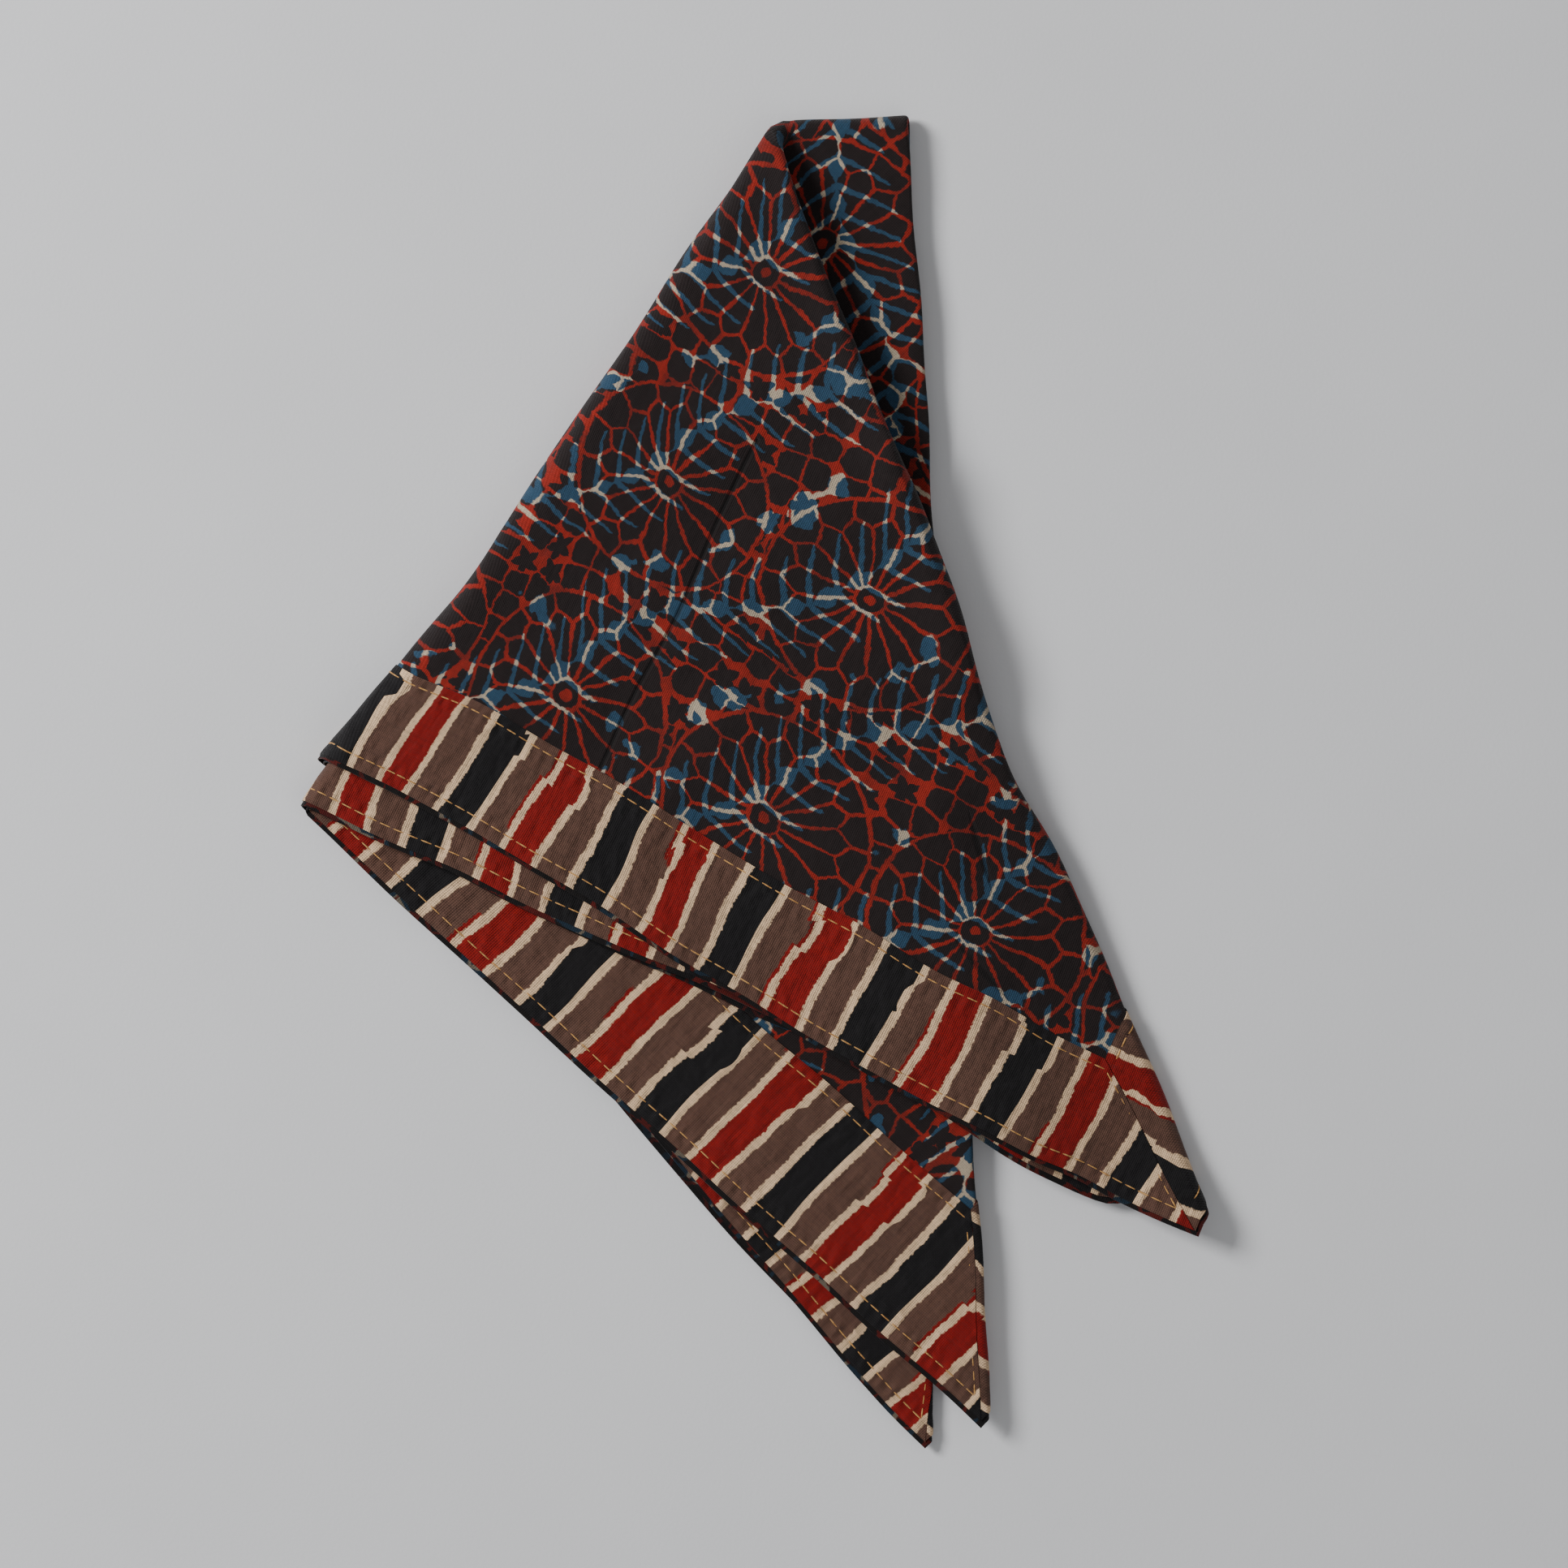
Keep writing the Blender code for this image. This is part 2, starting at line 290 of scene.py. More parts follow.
@dataclass(frozen=True)
class Folding:
    """Carries points of the flat cloth to their places in the folded one.

    The sizes are those of the part's solids. Ridges, hem shifts and nudges are added for the looks.

    Attributes:
        pitch: Height from one layer to the next.
        base: Height of the lowest layer's middle.
        askew: Turn of the square against the first two fold lines.
        off_along: Shift of its middle across the first fold line.
        off_down: The same across the second.
        fold_3_start: Where the third fold line meets the upper leg, from the centre.
        fold_3_angle: Angle between that leg and the line.
        upper_turn: Turn of the upper pair of layers at the right leg.
        lower_turn: The same of the lower pair.
        upper_drawn: How far the upper pair's hem is drawn in, halfway between the legs.
        lower_drawn: The same of the lower pair.
        edge_in: How far the flap's edge moves in near the centre.
        tip_out: How far it moves out at the tip.
        ease: Distance over which a shift comes in, past the third fold.
        inner_tip_short: How much shorter the inner pair's tip is on the flap.
        flare: How far the third fold's lower end is pushed outward.
        flare_start: Distance along the fold where that starts.
        flare_length: Distance along it over which that comes in.
        flare_fade: Distance from it over which that fades.
        fall_start: Distance past the lower layers' edge where the flap starts to fall.
        fall_length: Distance over which it falls.
        centre_x: Place of the cloth's centre in the part's frame, to the right.
        centre_y: The same, upward in the photograph.
        heading: Direction of the upper leg there.
        tight_steps: Faces round each of the first two bends.
        round_steps: Faces round the third.
        flap_ease: Distance past the third fold over which ridges and nudges come in.
        hem_ease: Share of half the side over which a hem's shift comes in from a fold line.
        low_lift: Share of a ridge's height that the flap's lowest layer takes.
        wander: How far edges wander.
        swelling: How much the stack swells and sinks, as a share of its height.
        ridges: Ridges and troughs of the flap.
        hem_shifts: Shifts of hems.
        nudges: Pushes of the flap in its plane.
    """

    pitch: float = 0.0014
    base: float = 0.00068
    askew: float = math.radians(0.4)
    off_along: float = -0.0010
    off_down: float = 0.0002
    fold_3_start: float = 0.0238
    fold_3_angle: float = math.radians(54.6)
    upper_turn: float = math.radians(-1.9)
    lower_turn: float = math.radians(0.7)
    upper_drawn: float = 0.0025
    lower_drawn: float = 0.0170
    edge_in: float = 0.0035
    tip_out: float = 0.0030
    ease: float = 0.020
    inner_tip_short: float = 0.0070
    flare: float = 0.0055
    flare_start: float = 0.120
    flare_length: float = 0.055
    flare_fade: float = 0.070
    fall_start: float = -0.002
    fall_length: float = 0.040
    centre_x: float = 0.032575
    centre_y: float = 0.142236
    heading: float = math.radians(181.7)
    tight_steps: int = 6
    round_steps: int = 8
    flap_ease: float = 0.012
    hem_ease: float = 0.10
    low_lift: float = 0.3
    wander: float = 0.00034
    swelling: float = 0.07
    ridges: tuple[Ridge, ...] = ()
    hem_shifts: tuple[HemShift, ...] = ()
    nudges: tuple[Nudge, ...] = ()

    @property
    def fold_1_arc(self) -> float:
        """Length of cloth in the first fold's bend."""
        return math.pi * 0.5 * self.pitch

    @property
    def fold_2_arc(self) -> float:
        """Length of cloth in the second fold's bend."""
        return math.pi * self.pitch

    @property
    def fold_3_arc(self) -> float:
        """Length of cloth in the third fold's bend."""
        return math.pi * 2.0 * self.pitch

    @property
    def normal(self) -> np.ndarray:
        """Unit vector across the third fold line, towards the flap."""
        return np.array((math.sin(self.fold_3_angle), -math.cos(self.fold_3_angle)))

    @staticmethod
    def bend(
        distance: np.ndarray, height: np.ndarray, axis: float, arc: float
    ) -> tuple[np.ndarray, np.ndarray]:
        """Carries points round a fold.

        Args:
            distance: How far each point is past the fold line.
            height: Its height in the stack.
            axis: Height of the fold's axis.
            arc: Length of cloth in the bend.

        Returns:
            The distance and height of each point after the bend.
        """
        angle = np.clip(distance / arc, 0.0, 1.0) * math.pi
        arm = axis - height
        out = np.where(distance <= 0.0, distance, arm * np.sin(angle))
        out = np.where(distance >= arc, arc - distance, out)
        up = np.where(distance <= 0.0, height, axis - arm * np.cos(angle))
        return out, np.where(distance >= arc, 2.0 * axis - height, up)

    def layer_shift(
        self,
        along: np.ndarray,
        down: np.ndarray,
        past: np.ndarray,
        upper: np.ndarray,
        inner: np.ndarray,
    ) -> np.ndarray:
        """Moves the layers in their plane, as they don't lie square.

        Args:
            along: Distance from the cloth's centre along the upper leg.
            down: Distance from it along the right leg.
            past: Distance past the third fold line.
            upper: Whether each point is in the upper pair of layers.
            inner: Whether each point is in the inner pair.

        Returns:
            The shift of each point, in leg coordinates.
        """
        reach = np.maximum(np.hypot(along, down), 1e-9)
        share = np.clip(np.arctan2(down, along) / (math.pi / 2), 0.0, 1.0)
        turn = np.where(upper, self.upper_turn, self.lower_turn) * smooth((share - 0.5) * 2.0)
        outward = np.stack((along, down), axis=1) / reach[:, None]
        sideways = np.stack((outward[:, 1], -outward[:, 0]), axis=1)
        drawn = np.where(upper, self.upper_drawn, self.lower_drawn)
        drawn = drawn * reach / HALF_SIDE * np.sin(math.pi * share) ** 2
        swing = (1.0 - smooth(share * 2.0)) * smooth(past / self.ease)
        tip = reach / (HALF_SIDE * math.sqrt(2))
        short = np.where(inner, self.inner_tip_short * tip, 0.0) * swing
        edge = (self.edge_in * (1.0 - tip) - self.tip_out * tip) * swing
        shift = sideways * (reach * turn)[:, None] - outward * drawn[:, None]
        return shift + np.stack((-short, edge), axis=1)

    def flared(self, place: np.ndarray) -> np.ndarray:
        """Gives how far the third fold's lower end is pushed outward at each place."""
        from_start = place - np.array((self.fold_3_start, 0.0))
        tangent = np.array((-self.normal[1], self.normal[0]))
        low = smooth((from_start @ tangent - self.flare_start) / self.flare_length)
        return self.flare * low * smooth(1.0 - np.abs(from_start @ self.normal) / self.flare_fade)

    def hem_shift(self, flat: np.ndarray) -> np.ndarray:
        """Gives the outward shift of flat points near the hems, in the square's axes."""
        shifted = np.zeros((len(flat), 2))
        for row in self.hem_shifts:
            angle = row.side.value * math.pi / 2
            out = np.array((math.cos(angle), math.sin(angle)))
            aside = np.array((-out[1], out[0]))
            along = flat[:, :2] @ aside / HALF_SIDE
            outward = np.clip(flat[:, :2] @ out / HALF_SIDE, 0.0, 1.0)
            fade = np.exp(-(((along - row.along) / row.reach) ** 2))
            from_fold = smooth((outward - np.abs(along)) / self.hem_ease)
            shifted += (row.out * outward**2 * fade * from_fold)[:, None] * out[None, :]
        return shifted

    def nudged(self, spot: np.ndarray, on_flap: np.ndarray) -> np.ndarray:
        """Gives the nudges' shift of each place.

        Args:
            spot: Places on the surface.
            on_flap: How far each is on the flap, from 0 to 1.

        Returns:
            The shift of each.
        """
        shift = np.zeros_like(spot)
        for nudge in self.nudges:
            away = (spot - np.array(photo_place(*nudge.centre))) / METRES_A_PIXEL
            fade = np.exp(-np.sum(away**2, axis=1) / nudge.reach**2) * on_flap
            move = np.array((nudge.move[0], -nudge.move[1])) * METRES_A_PIXEL
            shift += fade[:, None] * move
        return shift

    def lifted(self, x: np.ndarray, y: np.ndarray) -> np.ndarray:
        """Gives how far the flap's ridges lift the cloth at each place."""
        lift = np.zeros(len(x))
        for ridge in self.ridges:
            start = np.array(photo_place(*ridge.start))
            run = np.array(photo_place(*ridge.end)) - start
            length = np.hypot(*run)
            unit = run / length
            offset = np.stack((x, y), axis=1) - start
            along = offset @ unit
            aside = offset @ np.array((-unit[1], unit[0]))
            beyond = np.maximum(np.maximum(-along, along - length), 0.0)
            lift += ridge.height * np.exp(-(aside**2 + beyond**2) / ridge.width**2)
        return lift

    def to_diagonal(self) -> Matrix:
        """Gives the turn and shift from the square's own axes to the fold lines' axes."""
        turn = Matrix.Rotation(math.radians(45.0) + self.askew, 4, "Z")
        return Matrix.Translation((self.off_along, self.off_down, 0.0)) @ turn

    def place(self, flat: np.ndarray) -> np.ndarray:
        """Carries flat points to their places in the folded cloth.

        Args:
            flat: Points in the square's own axes, with height above the sheet's middle.

        Returns:
            The same points in the part's frame.
        """
        shifted = flat.copy()
        shifted[:, :2] += self.hem_shift(flat)
        matrix = np.array(self.to_diagonal())
        point = shifted @ matrix[:3, :3].T + matrix[:3, 3]
        across, down, height = point[:, 0], point[:, 1], point[:, 2]
        inner, upper = across < 0.0, down < 0.0
        beyond, height = self.bend(-across, height, 0.5 * self.pitch, self.fold_1_arc)
        along = -beyond
        beyond, height = self.bend(-down, height, 1.5 * self.pitch, self.fold_2_arc)
        down = -beyond
        place = np.stack((along, down), axis=1)
        past = (place - np.array((self.fold_3_start, 0.0))) @ self.normal
        shift = self.layer_shift(
            np.maximum(along, 0.0), np.maximum(down, 0.0), past, upper, inner
        )
        on_fold = place - np.outer(past, self.normal)
        bent, height = self.bend(past, height, 3.5 * self.pitch, self.fold_3_arc)
        facing = smooth(-past / self.ease) - smooth((past - self.fold_3_arc) / self.ease)
        across_shift = (shift @ self.normal) * (facing - 1.0)
        place = on_fold + shift + np.outer(bent + across_shift, self.normal)
        place += np.outer(self.flared(place), self.normal)
        return self.settle(place, height, past)

    def settle(self, place: np.ndarray, height: np.ndarray, past: np.ndarray) -> np.ndarray:
        """Lets the flap fall past the lower layers, lifts its ridges, and turns to the frame."""
        turn = self.upper_turn
        past_edge = place[:, 1] * math.sin(turn) - place[:, 0] * math.cos(turn)
        drop = 4.0 * self.pitch * smooth((past_edge - self.fall_start) / self.fall_length)
        height = height - np.where(past > self.fold_3_arc / 2, drop, 0.0)
        c, s = math.cos(self.heading), math.sin(self.heading)
        x = self.centre_x + place[:, 0] * c - place[:, 1] * s
        y = self.centre_y + place[:, 0] * s + place[:, 1] * c
        level = np.clip((height + drop - 3.5 * self.pitch) / (3.5 * self.pitch), 0.0, 1.0)
        on_flap = smooth((past - self.fold_3_arc / 2) / self.flap_ease)
        share = self.low_lift + (1.0 - self.low_lift) * level
        height = height + self.lifted(x, y) * on_flap * share
        spot = np.stack((x, y), axis=1)
        spot += self.nudged(spot, on_flap)
        return self.relaxed(spot, height + self.base)

    def relaxed(self, spot: np.ndarray, height: np.ndarray) -> np.ndarray:
        """Lets edges wander a little, in their plane, and the stack swell and sink softly.

        The waves are 28 to 78 mm long, and their numbers are in radians to the metre.

        Args:
            spot: Places on the surface.
            height: Heights above it.

        Returns:
            The loosened points.
        """
        x, y = spot[:, 0], spot[:, 1]
        layer = height / self.pitch
        first = np.sin(118.0 * x + 0.9 * layer + 1.3) * np.sin(81.0 * y + 0.4)
        first += 0.5 * np.sin(214.0 * y + 0.7 * layer + 2.0)
        second = np.sin(109.0 * y + 0.8 * layer + 0.7) * np.sin(87.0 * x + 2.1)
        second += 0.5 * np.sin(226.0 * x - 0.6 * layer + 0.9)
        swell = 0.6 * np.sin(97.0 * x + 63.0 * y + 0.5) + 0.4 * np.sin(171.0 * y - 88.0 * x)
        height = height * (1.0 + self.swelling * swell)
        return np.column_stack((x + self.wander * first, y + self.wander * second, height))


class Creaser:
    """Cuts a flat piece along the fold lines, so that each bend is round."""

    def __init__(self, mesh: bmesh.types.BMesh, folding: Folding) -> None:
        """Keeps the piece, already in the fold lines' axes, and the fold map."""
        self.mesh = mesh
        self.folding = folding

    def cut(
        self,
        start: tuple[float, float],
        end: tuple[float, float],
        low: tuple[float, float],
        high: tuple[float, float],
    ) -> None:
        """Adds an edge line through two points, across the faces whose middle is in a box.

        Args:
            start: A point of the line.
            end: Another point of it.
            low: The box's lowest corner.
            high: Its highest corner.
        """
        faces = []
        for face in self.mesh.faces:
            middle = face.calc_center_median()
            if low[0] < middle.x < high[0] and low[1] < middle.y < high[1]:
                faces.append(face)
        edges = {edge for face in faces for edge in face.edges}
        corners = {corner for face in faces for corner in face.verts}
        bmesh.ops.bisect_plane(
            self.mesh,
            geom=[*faces, *edges, *corners],
            dist=1e-6,
            plane_co=(start[0], start[1], 0.0),
            plane_no=(end[1] - start[1], start[0] - end[0], 0.0),
        )

    def along_diagonals(self) -> None:
        """Cuts along the first two folds."""
        everywhere = ((-1.0, -1.0), (1.0, 1.0))
        steps = self.folding.tight_steps
        for step in range(steps + 1):
            first = -self.folding.fold_1_arc * step / steps
            second = -self.folding.fold_2_arc * step / steps
            self.cut((first, 0.0), (first, 1.0), *everywhere)
            self.cut((0.0, second), (1.0, second), *everywhere)

    @staticmethod
    def side_of(sign: int, arc: float) -> tuple[float, tuple[float, float]]:
        """Gives where the cloth on one side of a fold starts, and the span that it covers."""
        start = 0.0 if sign > 0 else -arc
        return start, (start, 1.0) if sign > 0 else (-1.0, start)

    def quarter(self, past: float, right: int, low: int) -> None:
        """Cuts one quarter where it lies this far past the third fold line."""
        fold = self.folding
        corner_x, box_x = self.side_of(right, fold.fold_1_arc)
        corner_y, box_y = self.side_of(low, fold.fold_2_arc)
        start_x = fold.fold_3_start + fold.normal[0] * past
        start_y = fold.normal[1] * past
        start = (corner_x + right * start_x, corner_y + low * start_y)
        end = (start[0] - right * fold.normal[1], start[1] + low * fold.normal[0])
        self.cut(start, end, (box_x[0], box_y[0]), (box_x[1], box_y[1]))

    def round_of_second(self, past: float, right: int) -> None:
        """Cuts the round of the second fold where it lies this far past the third fold line."""
        fold = self.folding
        arm = fold.pitch * (1.5 if right > 0 else 0.5)
        corner_x, box_x = self.side_of(right, fold.fold_1_arc)
        points = []
        for step in range(fold.tight_steps + 1):
            bulge = arm * math.sin(math.pi * step / fold.tight_steps)
            along = past - bulge * math.cos(fold.fold_3_angle)
            along = fold.fold_3_start + along / math.sin(fold.fold_3_angle)
            points.append((corner_x + right * along, -fold.fold_2_arc * step / fold.tight_steps))
        for start, end in zip(points, points[1:]):
            self.cut(start, end, (box_x[0], end[1]), (box_x[1], start[1]))

    def run(self) -> None:
        """Cuts along all the folds."""
        self.along_diagonals()
        steps = self.folding.round_steps
        for step in range(steps + 1):
            past = self.folding.fold_3_arc * step / steps
            for right in (1, -1):
                self.round_of_second(past, right)
                for low in (1, -1):
                    self.quarter(past, right, low)


@dataclass
class FlatPiece:
    """A piece of cloth that is made flat and then folded.

    Attributes:
        name: The piece's name.
        folding: The fold map.
        thickness: The cloth's thickness.
        height: Height of its middle above the printed cloth's middle, negative on the face side.
    """

    name: str
    folding: Folding
    thickness: float
    height: float = 0.0

    def outline(self) -> bmesh.types.BMesh:
        """Makes the flat mesh, in the square's own axes."""
        raise NotImplementedError

    def pattern_place(self, flat: np.ndarray) -> np.ndarray:
        """Gives each flat point's place on the pattern, as UV."""
        return flat[:, :2] / SIDE + 0.5

    def relief(self, flat: np.ndarray) -> np.ndarray:
        """Gives each flat point's height above the piece's own middle."""
        return np.zeros(len(flat))

    def make(self, *finishes: bpy.types.Material) -> bpy.types.Object:
        """Makes, thickens, folds and dresses the piece.

        Args:
            finishes: The face's material, and the back's where it has its own.

        Returns:
            The finished object.
        """
        mesh = self.outline()
        to_diagonal = self.folding.to_diagonal()
        bmesh.ops.transform(mesh, matrix=to_diagonal, verts=mesh.verts)
        Creaser(mesh, self.folding).run()
        bmesh.ops.transform(mesh, matrix=to_diagonal.inverted(), verts=mesh.verts)
        bmesh.ops.triangulate(mesh, faces=[face for face in mesh.faces if len(face.verts) > 4])
        bmesh.ops.reverse_faces(mesh, faces=mesh.faces)
        data = bpy.data.meshes.new(self.name)
        mesh.to_mesh(data)
        mesh.free()
        self.mark_pattern(data)
        piece = linked(self.name, data)
        for finish in finishes:
            data.materials.append(finish)
        wall = piece.modifiers.new("thickness", "SOLIDIFY")
        wall.thickness = self.thickness
        wall.offset = 0.0
        wall.material_offset = len(finishes) - 1
        wall.material_offset_rim = len(finishes) - 1
        return self.fold(piece)

    def mark_pattern(self, data: bpy.types.Mesh) -> None:
        """Writes the pattern's UV map."""
        layer = data.uv_layers.new(name="pattern")
        flat = np.empty(len(data.vertices) * 3)
        data.vertices.foreach_get("co", flat)
        corners = np.empty(len(data.loops), dtype=np.int32)
        data.loops.foreach_get("vertex_index", corners)
        places = self.pattern_place(flat.reshape(-1, 3))
        layer.data.foreach_set("uv", places[corners].ravel())

    def fold(self, piece: bpy.types.Object) -> bpy.types.Object:
        """Applies the piece's modifiers and carries its points to their folded places."""
        thick = applied(piece)
        thick.name = self.name
        flat = np.empty(len(thick.vertices) * 3)
        thick.vertices.foreach_get("co", flat)
        flat = flat.reshape(-1, 3)
        flat[:, 2] += self.height + self.relief(flat)
        thick.vertices.foreach_set("co", self.folding.place(flat).ravel())
        thick.shade_smooth()
        thick.set_sharp_from_angle(angle=SHARP_ANGLE)
        thick.update()
        return piece


@dataclass
class PrintedCloth(FlatPiece):
    """The whole square of printed cotton, as a grid with this step."""

    step: float = 0.0024

    def outline(self) -> bmesh.types.BMesh:
        """Makes the square as a grid."""
        mesh = bmesh.new()
        count = round(SIDE / self.step)
        bmesh.ops.create_grid(mesh, x_segments=count, y_segments=count, size=HALF_SIDE)
        return mesh


@dataclass
class BorderStrip(FlatPiece):
    """One striped strip, mitred at both ends and sewn over the printed cloth's edge.

    Attributes:
        side: The side of the square that it runs along.
        width: Distance from the cloth's edge to the strip's inner edge.
        before: Width of the strip that it meets at its start.
        after: Width of the strip that it meets at its end.
        bow: How much wider the strip is than its ends, where it is widest.
        bow_at: Place along the side where it is widest.
        bow_reach: Distance along the side over which the bow fades.
        bow_fade: Distance from a mitre within which it fades to nothing.
        rim: Printed cloth that shows beyond the strip.
        mitre_gap: Gap at each mitre.
        columns: Faces across the strip.
        step: Length of a face along it.
        outer_stitch: Distance from the strip's outer edge to its stitches.
        inner_stitch: Distance from its inner edge to its stitches.
        turned: Distance over which a turned edge rounds down.
        puff: How far it rises at its turned edges.
        groove: Reach of the groove along a row of stitches.
        sunk: Depth of that groove.
        ripple: Height of the soft ripple along the strip's middle.
        ripple_length: Length of one ripple.
    """

    side: Quarter = Quarter.OUTER_LOW
    width: float = BORDER
    before: float = BORDER
    after: float = BORDER
    bow: float = 0.0
    bow_at: float = 0.0
    bow_reach: float = 0.075
    bow_fade: float = 0.030
    rim: float = 0.0011
    mitre_gap: float = 0.0001
    columns: int = 14
    step: float = 0.0025
    outer_stitch: float = 0.0030
    inner_stitch: float = 0.0022
    turned: float = 0.0008
    puff: float = 0.00010
    groove: float = 0.0011
    sunk: float = 0.00008
    ripple: float = 0.00010
    ripple_length: float = 0.031

    def run(self, depth: float) -> tuple[float, float]:
        """Gives where the strip starts and ends along the side, at a depth from the edge."""
        low = self.mitre_gap - HALF_SIDE + depth * self.before / self.width
        high = HALF_SIDE - self.mitre_gap - depth * self.after / self.width
        return low, high

    def turn(self) -> Matrix:
        """Gives the turn from the first side to the strip's own."""
        return Matrix.Rotation(math.pi / 2 * self.side.value, 4, "Z")

    def outline(self) -> bmesh.types.BMesh:
        """Makes the mitred strip as a grid, closer at its two edges."""
        mesh = bmesh.new()
        rows = round(SIDE / self.step)
        bmesh.ops.create_grid(mesh, x_segments=self.columns, y_segments=rows, size=0.5)
        for vertex in mesh.verts:
            share = 0.5 - 0.5 * math.cos(math.pi * (0.5 - vertex.co.x))
            depth = self.rim + share * (self.width - self.rim)
            low, high = self.run(depth)
            along = low + (vertex.co.y + 0.5) * (high - low)
            depth += share * float(self.bowed(np.array(along)))
            vertex.co = Vector((HALF_SIDE - depth, along, 0.0))
        bmesh.ops.transform(mesh, matrix=self.turn(), verts=mesh.verts)
        return mesh

    def bowed(self, along: np.ndarray) -> np.ndarray:
        """Gives how much wider the strip is at each place along it, with nothing at its mitres."""
        from_mitre = HALF_SIDE - BORDER - np.abs(along)
        fade = np.exp(-(((along - self.bow_at) / self.bow_reach) ** 2))
        return self.bow * fade * smooth(from_mitre / self.bow_fade)

    def widening(self, own: np.ndarray) -> np.ndarray:
        """Gives how far the bow moves points of the strip, from their place in a plain one."""
        share = np.clip((HALF_SIDE - own[:, 0] - self.rim) / (self.width - self.rim), 0.0, 1.0)
        return share * self.bowed(own[:, 1])

    def depth_and_along(self, flat: np.ndarray) -> tuple[np.ndarray, np.ndarray]:
        """Gives flat points' depth from the cloth's edge and place along the side."""
        back = np.array(self.turn().inverted())[:2, :2]
        own = flat[:, :2] @ back.T
        return HALF_SIDE - own[:, 0], own[:, 1]

    def pattern_place(self, flat: np.ndarray) -> np.ndarray:
        """Gives the place along and across the strip, as UV."""
        depth, along = self.depth_and_along(flat)
        return np.stack((along / SIDE + 0.5, depth / SIDE), axis=1)

    def relief(self, flat: np.ndarray) -> np.ndarray:
        """Puffs the strip between its stitch lines and rounds it down at its turned edges."""
        depth, along = self.depth_and_along(flat)
        from_outer = depth - self.rim
        from_inner = self.width + self.bowed(along) - depth
        edge = np.minimum(from_outer, from_inner)
        sewn = np.exp(-(((from_outer - self.outer_stitch) / self.groove) ** 2))
        sewn += np.exp(-(((from_inner - self.inner_stitch) / self.groove) ** 2))
        wave = along * 2 * math.pi / self.ripple_length + 1.7 * np.sin(along * 90)
        middle = smooth((edge - 0.004) / 0.006)
        puff = self.puff * smooth(edge / self.turned) - self.sunk * sewn
        return -(puff + self.ripple * middle * (0.5 + 0.5 * np.sin(wave)))


class Signal:
    """A number, vector or colour on its way through a tree of nodes."""

    def __init__(self, graph: Nodes, socket: bpy.types.NodeSocket | None) -> None:
        """Keeps the nodes and the output socket that carries the value."""
        self.graph = graph
        self.socket = socket

    def __add__(self, other: Value) -> Signal:
        """Adds."""
        return self.graph.maths("ADD", self, other)

    def __sub__(self, other: Value) -> Signal:
        """Subtracts."""
        return self.graph.maths("SUBTRACT", self, other)

    def __rsub__(self, other: Value) -> Signal:
        """Subtracts this from the other."""
        return self.graph.maths("SUBTRACT", other, self)

    def __mul__(self, other: Value) -> Signal:
        """Multiplies."""
        return self.graph.maths("MULTIPLY", self, other)

    def __truediv__(self, other: Value) -> Signal:
        """Divides."""
        return self.graph.maths("DIVIDE", self, other)

    def __rtruediv__(self, other: Value) -> Signal:
        """Divides the other by this."""
        return self.graph.maths("DIVIDE", other, self)

    def __neg__(self) -> Signal:
        """Changes the sign."""
        return self.graph.maths("MULTIPLY", self, -1.0)

    def __abs__(self) -> Signal:
        """Drops the sign."""
        return self.graph.maths("ABSOLUTE", self)

    __radd__ = __add__
    __rmul__ = __mul__

    def __round__(self) -> Signal:
        """Rounds to the nearest whole number."""
        return self.graph.maths("ROUND", self)

    def floor(self) -> Signal:
        """Rounds down."""
        return self.graph.maths("FLOOR", self)

    def fraction(self) -> Signal:
        """Keeps what is past the whole number."""
        return self.graph.maths("FRACT", self)

    def sine(self) -> Signal:
        """Takes the sine."""
        return self.graph.maths("SINE", self)

    def cosine(self) -> Signal:
        """Takes the cosine."""
        return self.graph.maths("COSINE", self)

    def at_least(self, other: Value) -> Signal:
        """Keeps the greater of the two."""
        return self.graph.maths("MAXIMUM", self, other)

    def at_most(self, other: Value) -> Signal:
        """Keeps the smaller of the two."""
        return self.graph.maths("MINIMUM", self, other)

    def above(self, other: Value) -> Signal:
        """Gives 1 where this is greater, and 0 elsewhere."""
        return self.graph.maths("GREATER_THAN", self, other)

    def ramp(self, low: float, high: float) -> Signal:
        """Rises smoothly from 0 at the low value to 1 at the high one."""
        settings = {"interpolation_type": "SMOOTHSTEP", "clamp": True}
        inputs = {"Value": self, "From Min": low, "From Max": high}
        return self.graph.add("ShaderNodeMapRange", settings, inputs)

    def repeat(self, period: float) -> Signal:
        """Folds a length to within half a period of 0."""
        return ((self / period + 0.5).fraction() - 0.5) * period


Value = Signal | float | tuple[float, ...]


class Nodes:
    """A node tree, with short calls that add to it."""

    def __init__(self, tree: bpy.types.NodeTree) -> None:
        """Keeps the tree."""
        self.tree = tree

    def add(
        self,
        kind: str,
        settings: dict[str, object] | None = None,
        inputs: dict[str | int, Value | str] | None = None,
        output: str | int = 0,
    ) -> Signal:
        """Adds a node.

        Args:
            kind: The node's type.
            settings: Its properties, set before its sockets.
            inputs: What its input sockets take, by name or number.
            output: The output socket that is wanted.

        Returns:
            The value at that output.
        """
        node = self.tree.nodes.new(kind)
        for key, value in (settings or {}).items():
            setattr(node, key, value)
        for key, value in (inputs or {}).items():
            if isinstance(value, Signal):
                self.tree.links.new(value.socket, node.inputs[key])
            else:
                node.inputs[key].default_value = value
        return Signal(self, node.outputs[output]) if node.outputs else Signal(self, None)

    def maths(self, operation: str, *values: Value) -> Signal:
        """Adds a maths node on numbers."""
        return self.add("ShaderNodeMath", {"operation": operation}, dict(enumerate(values)))


